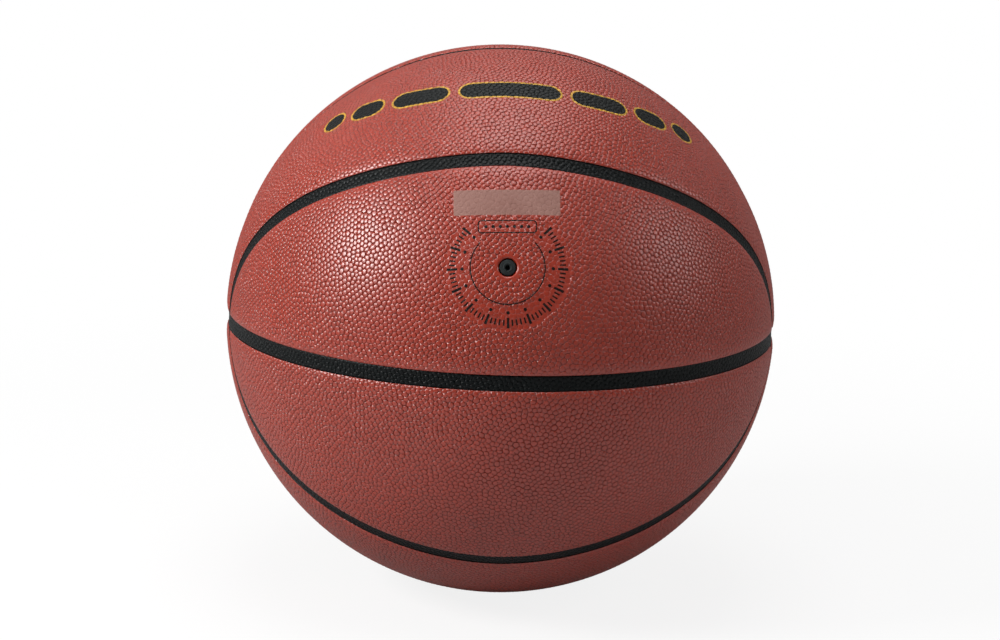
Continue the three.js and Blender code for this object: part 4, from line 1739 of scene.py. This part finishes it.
@dataclass
class Valve:
    """The rubber valve core and the housing that holds it, turned about the valve's axis.

    Attributes:
        latitude: Of the valve, in degrees above the equator.
        sides: Facets round the axis.
        face: From the centre of the ball to the valve's face, in millimetres.
        head_radius: Of the head in the panel's hole.
        head_foot: From the centre to the underside of the head.
        stem_radius: Of the stem.
        bead_radius: Of the sealing beads on the stem.
        beads: Number of beads.
        bead_length: Of one bead.
        nose_end: From the centre to the tip of the nose.
        nose_length: Of the tapered nose.
        nose_radius: Of the tip.
        needle_radius: Of the needle hole.
        needle_depth: Of the needle hole.
        dish_radius: Of the funnel round the needle hole.
        dish_depth: Of that funnel.
        dish_foot: Where its side turns steep: how far outside the hole, and its share of the depth.
        collar_radius: Of the raised collar round the funnel.
        collar_height: Of that collar.
        bore: Radius of the housing's bore.
        neck: Radius of the housing's neck.
        neck_top: From the centre to the top of the neck.
        boss: Radius of the boss inside the bladder.
        flange: Radius of the flange.
        flange_top: From the centre to the flange's domed top.
        flange_thickness: At the boss.
        flange_rim: Thickness at the rim.
        round: Radius of small roundings.
        bead_rows: Rows of facets along a bead.
        round_rows: Rows of facets over a rounding or the collar.
        flange_rows: Rows of facets over the flange's top.
    """

    latitude: float = 22.5
    sides: int = 64
    face: float = 119.2
    head_radius: float = 3.3
    head_foot: float = 117.04
    stem_radius: float = 2.15
    bead_radius: float = 2.3
    beads: int = 3
    bead_length: float = 1.2
    nose_end: float = 101.95
    nose_length: float = 2.0
    nose_radius: float = 1.3
    needle_radius: float = 1.0
    needle_depth: float = 11.0
    dish_radius: float = 1.5
    dish_depth: float = 0.6
    dish_foot: tuple[float, float] = (0.1, 0.7)
    collar_radius: float = 1.9
    collar_height: float = 0.12
    bore: float = 2.6
    neck: float = 4.6
    neck_top: float = 116.739
    boss: float = 6.25
    flange: float = 14.0
    flange_top: float = 110.45
    flange_thickness: float = 1.5
    flange_rim: float = 0.6
    round: float = 0.35
    bead_rows: int = 8
    round_rows: int = 4
    flange_rows: int = 8

    def core_profile(self) -> list[tuple[float, float]]:
        """Draws the core's outline, from the nose to the bottom of its hole.

        Returns:
            Radius and height of each ring, in millimetres.
        """
        profile = [(self.nose_radius, self.nose_end)]
        nose_top = self.nose_end + self.nose_length
        profile.append((self.stem_radius, nose_top))
        pitch = (self.head_foot - nose_top) / self.beads
        half = self.bead_rows // 2
        for bead in range(self.beads):
            middle = nose_top + pitch * (bead + 0.5)
            for step in range(-half, half + 1):
                swell = math.cos(step * math.pi / self.bead_rows)
                radius = self.stem_radius + (self.bead_radius - self.stem_radius) * swell
                profile.append((radius, middle + self.bead_length * step / self.bead_rows))
        profile += [(self.stem_radius, self.head_foot), (self.head_radius, self.head_foot)]
        for step in range(self.round_rows + 1):
            turn = step * math.pi / 2 / self.round_rows
            profile.append((
                self.head_radius - self.round * (1 - math.cos(turn)),
                self.face - self.round * (1 - math.sin(turn)),
            ))
        ridge = (self.collar_radius - self.dish_radius) / 2
        profile.append((self.collar_radius + ridge, self.face))
        for step in range(self.round_rows + 1):
            turn = step * math.pi / self.round_rows
            profile.append((
                self.collar_radius - ridge + ridge * math.cos(turn),
                self.face + self.collar_height * math.sin(turn),
            ))
        aside, share = self.dish_foot
        profile += [
            (self.needle_radius + aside, self.face - self.dish_depth * share),
            (self.needle_radius, self.face - self.dish_depth),
            (self.needle_radius, self.face - self.needle_depth),
        ]
        return profile

    def housing_profile(self) -> list[tuple[float, float]]:
        """Draws the housing's outline, round from the foot of its bore.

        Returns:
            Radius and height of each ring, in millimetres.
        """
        def dome(radius: float) -> float:
            """Height of the flange's domed top."""
            return math.sqrt(self.flange_top ** 2 - radius ** 2)

        wall = self.flange_thickness
        profile = [
            (self.bore, self.nose_end), (self.boss - wall, self.nose_end),
            (self.boss, self.nose_end + wall), (self.boss, dome(self.boss) - wall),
            (self.flange, dome(self.flange) - self.flange_rim),
        ]
        for row in range(self.flange_rows + 1):
            radius = self.flange + (self.neck - self.flange) * row / self.flange_rows
            profile.append((radius, dome(radius)))
        profile += [
            (self.neck, self.neck_top - self.round), (self.neck - self.round, self.neck_top),
            (self.bore + self.round, self.neck_top), (self.bore, self.neck_top - self.round),
        ]
        return profile

    def turned(self, name: str, profile: list[tuple[float, float]], closed: bool) -> bpy.types.Object:
        """Turns an outline about the valve's axis, ring by ring from a first circle.

        Args:
            name: Of the new object.
            profile: Radius and height of each ring, in millimetres.
            closed: Whether the last ring joins the first. Otherwise both ends are capped.

        Returns:
            The object, with its place in its mesh.
        """
        radius, height = profile[0]
        bpy.ops.object.select_all(action="DESELECT")
        bpy.ops.mesh.primitive_circle_add(
            vertices=self.sides, radius=radius * MM, location=(0, 0, 0),
            fill_type="NOTHING" if closed else "NGON",
        )
        piece = bpy.context.active_object
        piece.name = piece.data.name = name
        bpy.ops.object.mode_set(mode="EDIT")
        bpy.ops.mesh.select_all(action="SELECT")
        bpy.ops.transform.translate(value=(0, 0, height * MM))
        for next_radius, next_height in profile[1:] + (profile[:1] if closed else []):
            rise = (next_height - height) * MM
            bpy.ops.mesh.extrude_region_move(TRANSFORM_OT_translate={"value": (0, 0, rise)})
            size = next_radius / radius
            bpy.ops.transform.resize(value=(size, size, 1), center_override=(0, 0, next_height * MM))
            radius, height = next_radius, next_height
        bpy.ops.mesh.select_all(action="SELECT")
        bpy.ops.mesh.remove_doubles(threshold=WELD)
        bpy.ops.mesh.normals_make_consistent(inside=False)
        bpy.ops.object.mode_set(mode="OBJECT")
        out = Vector(Flattening(self.latitude).axes()[2])
        piece.data.transform(out.to_track_quat("Z", "Y").to_matrix().to_4x4())
        return piece

    def build(self) -> None:
        """Builds and dresses the core and the housing."""
        core = self.turned("valve_core_turned", self.core_profile(), closed=False)
        housing = self.turned("valve_housing_turned", self.housing_profile(), closed=True)
        for piece, rubber in ((core, VALVE_RUBBER), (housing, BUTYL_RUBBER)):
            piece.data.materials.append(rubber.material())
            shade(piece, VALVE_SHARP)
        finish_piece(core, Body.CORE, "valve_core")
        finish_piece(housing, Body.BALL, "valve_housing")


@dataclass
class InnerLayers:
    """The layers under the cover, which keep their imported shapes."""

    finishes: dict[str, Finish] = field(default_factory=lambda: {
        "cushion_layer": SPONGE_RUBBER,
        "carcass": CARCASS_RUBBER,
        "thread_winding": NYLON_THREAD,
        "bladder": BUTYL_RUBBER,
    })

    def dress(self) -> None:
        """Gives each layer its finish."""
        for node, finish in self.finishes.items():
            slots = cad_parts[node].data.materials
            slots.clear()
            slots.append(finish.material())
            log.info("%s: %s", node, finish.name)


def direction(turn: float, rise: float) -> Vector:
    """The direction at degrees to the right of the front and degrees above the level."""
    turn, rise = math.radians(turn), math.radians(rise)
    level = math.cos(rise)
    return Vector((level * math.sin(turn), -level * math.cos(turn), math.sin(rise)))


@dataclass(frozen=True)
class Softbox:
    """A flat lamp that faces the ball.

    Attributes:
        name: Of the lamp.
        side: Degrees to the right of the camera, seen from the ball.
        height: Degrees above the ball's level.
        size: Width and height, in metres.
        power: In watts.
        distance: From the centre of the ball, in metres.
    """

    name: str
    side: float
    height: float
    size: float
    power: float
    distance: float = 1.1


@dataclass
class Studio:
    """Floor, lamps, white surroundings and camera.

    Attributes:
        azimuth: Of the camera round the ball from the front, in degrees to the right.
        elevation: Of the camera, in degrees.
        roll: Of the camera, in degrees, positive where the picture leans to the left.
        distance: From the camera to the centre of the ball, in metres.
        lens: Focal length in millimetres on a sensor of SENSOR_WIDTH.
        shift: Of the picture, as shares of its width.
        floor_size: Side of the floor and of the backdrop, in metres.
        backdrop: From the centre of the ball back to the backdrop, in metres.
        white_share: How far the paper at the ball is plain white to the eye, the rest being lit by
            the lamps.
        shadow_reach: Distances between which the paper turns all white, in metres.
        floor_mirror: How far mirrored rays show the floor as plain white, in front and behind.
        backdrop_mirror: How far mirrored rays show the backdrop as plain white, left and right.
        mirror_reach: Half the width over which those change on the floor and the backdrop, in metres.
        ambient: Strength of the light from all round.
        ambient_mirror: How bright the room is in mirrored rays.
        lamps: The softboxes.
    """

    azimuth: float = -1.18
    elevation: float = 12.64
    roll: float = 1.94
    distance: float = 1.2744
    lens: float = 104.3
    shift: tuple[float, float] = (-0.00036, -0.00166)
    floor_size: float = 12.0
    backdrop: float = 3.0
    white_share: float = 0.85
    shadow_reach: tuple[float, float] = (0.15, 0.6)
    floor_mirror: tuple[float, float] = (0.0, 0.08)
    backdrop_mirror: tuple[float, float] = (0.33, 0.2)
    mirror_reach: tuple[float, float] = (0.4, 1.2)
    ambient: float = 0.22
    ambient_mirror: float = 0.01
    lamps: tuple[Softbox, ...] = (
        Softbox("key_softbox", side=-65, height=30, size=0.37, power=9.6),
        Softbox("top_softbox", side=-5, height=78, size=0.5, power=3.2),
        Softbox("back_softbox", side=180, height=74, size=0.66, power=2.6),
        Softbox("side_softbox", side=81, height=28, size=0.5, power=2.35),
    )

    @staticmethod
    def rays_seen(tree: Tree, mirrored: Socket | float) -> Socket:
        """Works out how far a ray shows plain white.

        Args:
            tree: The nodes of a sheet or of the world.
            mirrored: The share for rays that a satin face mirrors.

        Returns:
            1 for rays straight to the eye or through glass, and that share for mirrored ones.
        """
        path = add_node(tree, "ShaderNodeLightPath")
        first = add_node(tree, "ShaderNodeMath", {"operation": "MULTIPLY_ADD"}, {
            0: path.outputs["Is Glossy Ray"], 1: mirrored, 2: path.outputs["Is Camera Ray"],
        })
        return add_node(tree, "ShaderNodeMath", {"operation": "MAXIMUM"}, {
            0: first.outputs["Value"], 1: path.outputs["Is Transmission Ray"],
        }).outputs["Value"]

    def surround(self) -> None:
        """A white room: plain white to the eye, dim in mirrors, and a soft light on dull faces."""
        world = bpy.data.worlds.new("white_room")
        bpy.context.scene.world = world
        tree = empty_tree(world)
        dull = add_node(tree, "ShaderNodeLightPath").outputs["Is Diffuse Ray"]
        strength = add_node(tree, "ShaderNodeMath", {"operation": "MULTIPLY_ADD"}, {
            0: dull, 1: self.ambient, 2: self.rays_seen(tree, self.ambient_mirror),
        })
        light = add_node(tree, "ShaderNodeBackground", {}, {
            "Color": WHITE, "Strength": strength.outputs["Value"],
        })
        add_node(tree, "ShaderNodeOutputWorld", {}, {"Surface": light.outputs["Background"]})

    def paper(self, name: str, way: str, mirrored: tuple[float, float], reach: float) -> bpy.types.Material:
        """White studio paper: plain white for rays that reach the eye, and lit by the lamps else.

        Args:
            name: Of the material.
            way: Axis of the sheet along which its mirrored white changes.
            mirrored: The mirrored white at both ends of that change.
            reach: Distance of those ends from the middle, in metres.

        Returns:
            The new material.
        """
        made = bpy.data.materials.new(name)
        tree = empty_tree(made)
        seen = add_node(tree, "ShaderNodeLightPath").outputs["Is Camera Ray"]
        tone = add_node(tree, "ShaderNodeMix", {"data_type": "RGBA"}, {
            "Factor": seen, "A": LIT_PAPER, "B": WHITE,
        })
        paper = add_node(tree, "ShaderNodeBsdfDiffuse", {}, {"Color": tone.outputs["Result"]})
        white = add_node(tree, "ShaderNodeEmission", {}, {"Color": WHITE, "Strength": 1.0})
        place = add_node(tree, "ShaderNodeTexCoord").outputs["Object"]
        away = add_node(tree, "ShaderNodeVectorMath", {"operation": "LENGTH"}, {0: place})
        near, far = self.shadow_reach
        plain = add_node(tree, "ShaderNodeMapRange", {"interpolation_type": "SMOOTHSTEP"}, {
            "Value": away.outputs["Value"], "From Min": near, "From Max": far,
            "To Min": self.white_share, "To Max": 1.0,
        })
        apart = add_node(tree, "ShaderNodeSeparateXYZ", {}, {"Vector": place})
        shown = add_node(tree, "ShaderNodeMapRange", {}, {
            "Value": apart.outputs[way], "From Min": -reach, "From Max": reach,
            "To Min": mirrored[0], "To Max": mirrored[1],
        })
        share = add_node(tree, "ShaderNodeMath", {"operation": "MULTIPLY"}, {
            0: self.rays_seen(tree, shown.outputs["Result"]), 1: plain.outputs["Result"],
        })
        surface = add_node(tree, "ShaderNodeMixShader", {}, {
            0: share.outputs["Value"], 1: paper.outputs["BSDF"], 2: white.outputs["Emission"],
        })
        add_node(tree, "ShaderNodeOutputMaterial", {}, {"Surface": surface.outputs["Shader"]})
        return made

    def floor(self) -> None:
        """A white floor under the ball and a white backdrop behind it."""
        lowest = cad_box[0][2]
        near, far = self.mirror_reach
        middle = lowest + self.floor_size / 2
        sheets = {
            "floor": ((0, 0, lowest), (0, 0, 0), ("Y", self.floor_mirror, near)),
            "backdrop": ((0, self.backdrop, middle), (math.pi / 2, 0, 0), ("X", self.backdrop_mirror, far)),
        }
        for name, (place, turn, white) in sheets.items():
            bpy.ops.object.select_all(action="DESELECT")
            bpy.ops.mesh.primitive_plane_add(size=self.floor_size, location=place, rotation=turn)
            sheet = bpy.context.active_object
            sheet.name = sheet.data.name = name
            sheet.data.materials.append(self.paper(f"white_{name}_paper", *white))

    def light(self) -> None:
        """Hangs the softboxes round the ball, each turned to its centre."""
        for lamp in self.lamps:
            place = direction(lamp.side + self.azimuth, lamp.height)
            data = bpy.data.lights.new(lamp.name, "AREA")
            data.shape = "RECTANGLE"
            data.size = data.size_y = lamp.size
            data.energy = lamp.power
            hung = bpy.data.objects.new(lamp.name, data)
            facing = place.to_track_quat("Z", "Y").to_matrix().to_4x4()
            hung.matrix_world = Matrix.Translation(place * lamp.distance) @ facing
            bpy.context.scene.collection.objects.link(hung)

    def camera(self) -> None:
        """Sets the camera at the photograph's viewing angle."""
        back = direction(self.azimuth, self.elevation)
        right = Vector((0, 0, 1)).cross(back).normalized()
        facing = Matrix((right, back.cross(right), back)).transposed().to_4x4()
        data = bpy.data.cameras.new("camera")
        data.sensor_width = SENSOR_WIDTH
        data.lens = self.lens
        data.shift_x, data.shift_y = self.shift
        stood = bpy.data.objects.new("camera", data)
        roll = Matrix.Rotation(math.radians(self.roll), 4, "Z")
        stood.matrix_world = Matrix.Translation(back * self.distance) @ facing @ roll
        bpy.context.scene.collection.objects.link(stood)
        bpy.context.scene.camera = stood

    def build(self) -> None:
        """Sets up the whole studio."""
        bpy.context.scene.view_settings.view_transform = "Standard"
        self.surround()
        self.floor()
        self.light()
        self.camera()


def main() -> None:
    """Builds the ball and its studio."""
    logging.basicConfig(level=logging.INFO, format="%(message)s")
    Studio().build()
    Cover().build()
    Valve().build()
    InnerLayers().dress()


if __name__ == "__main__":
    main()
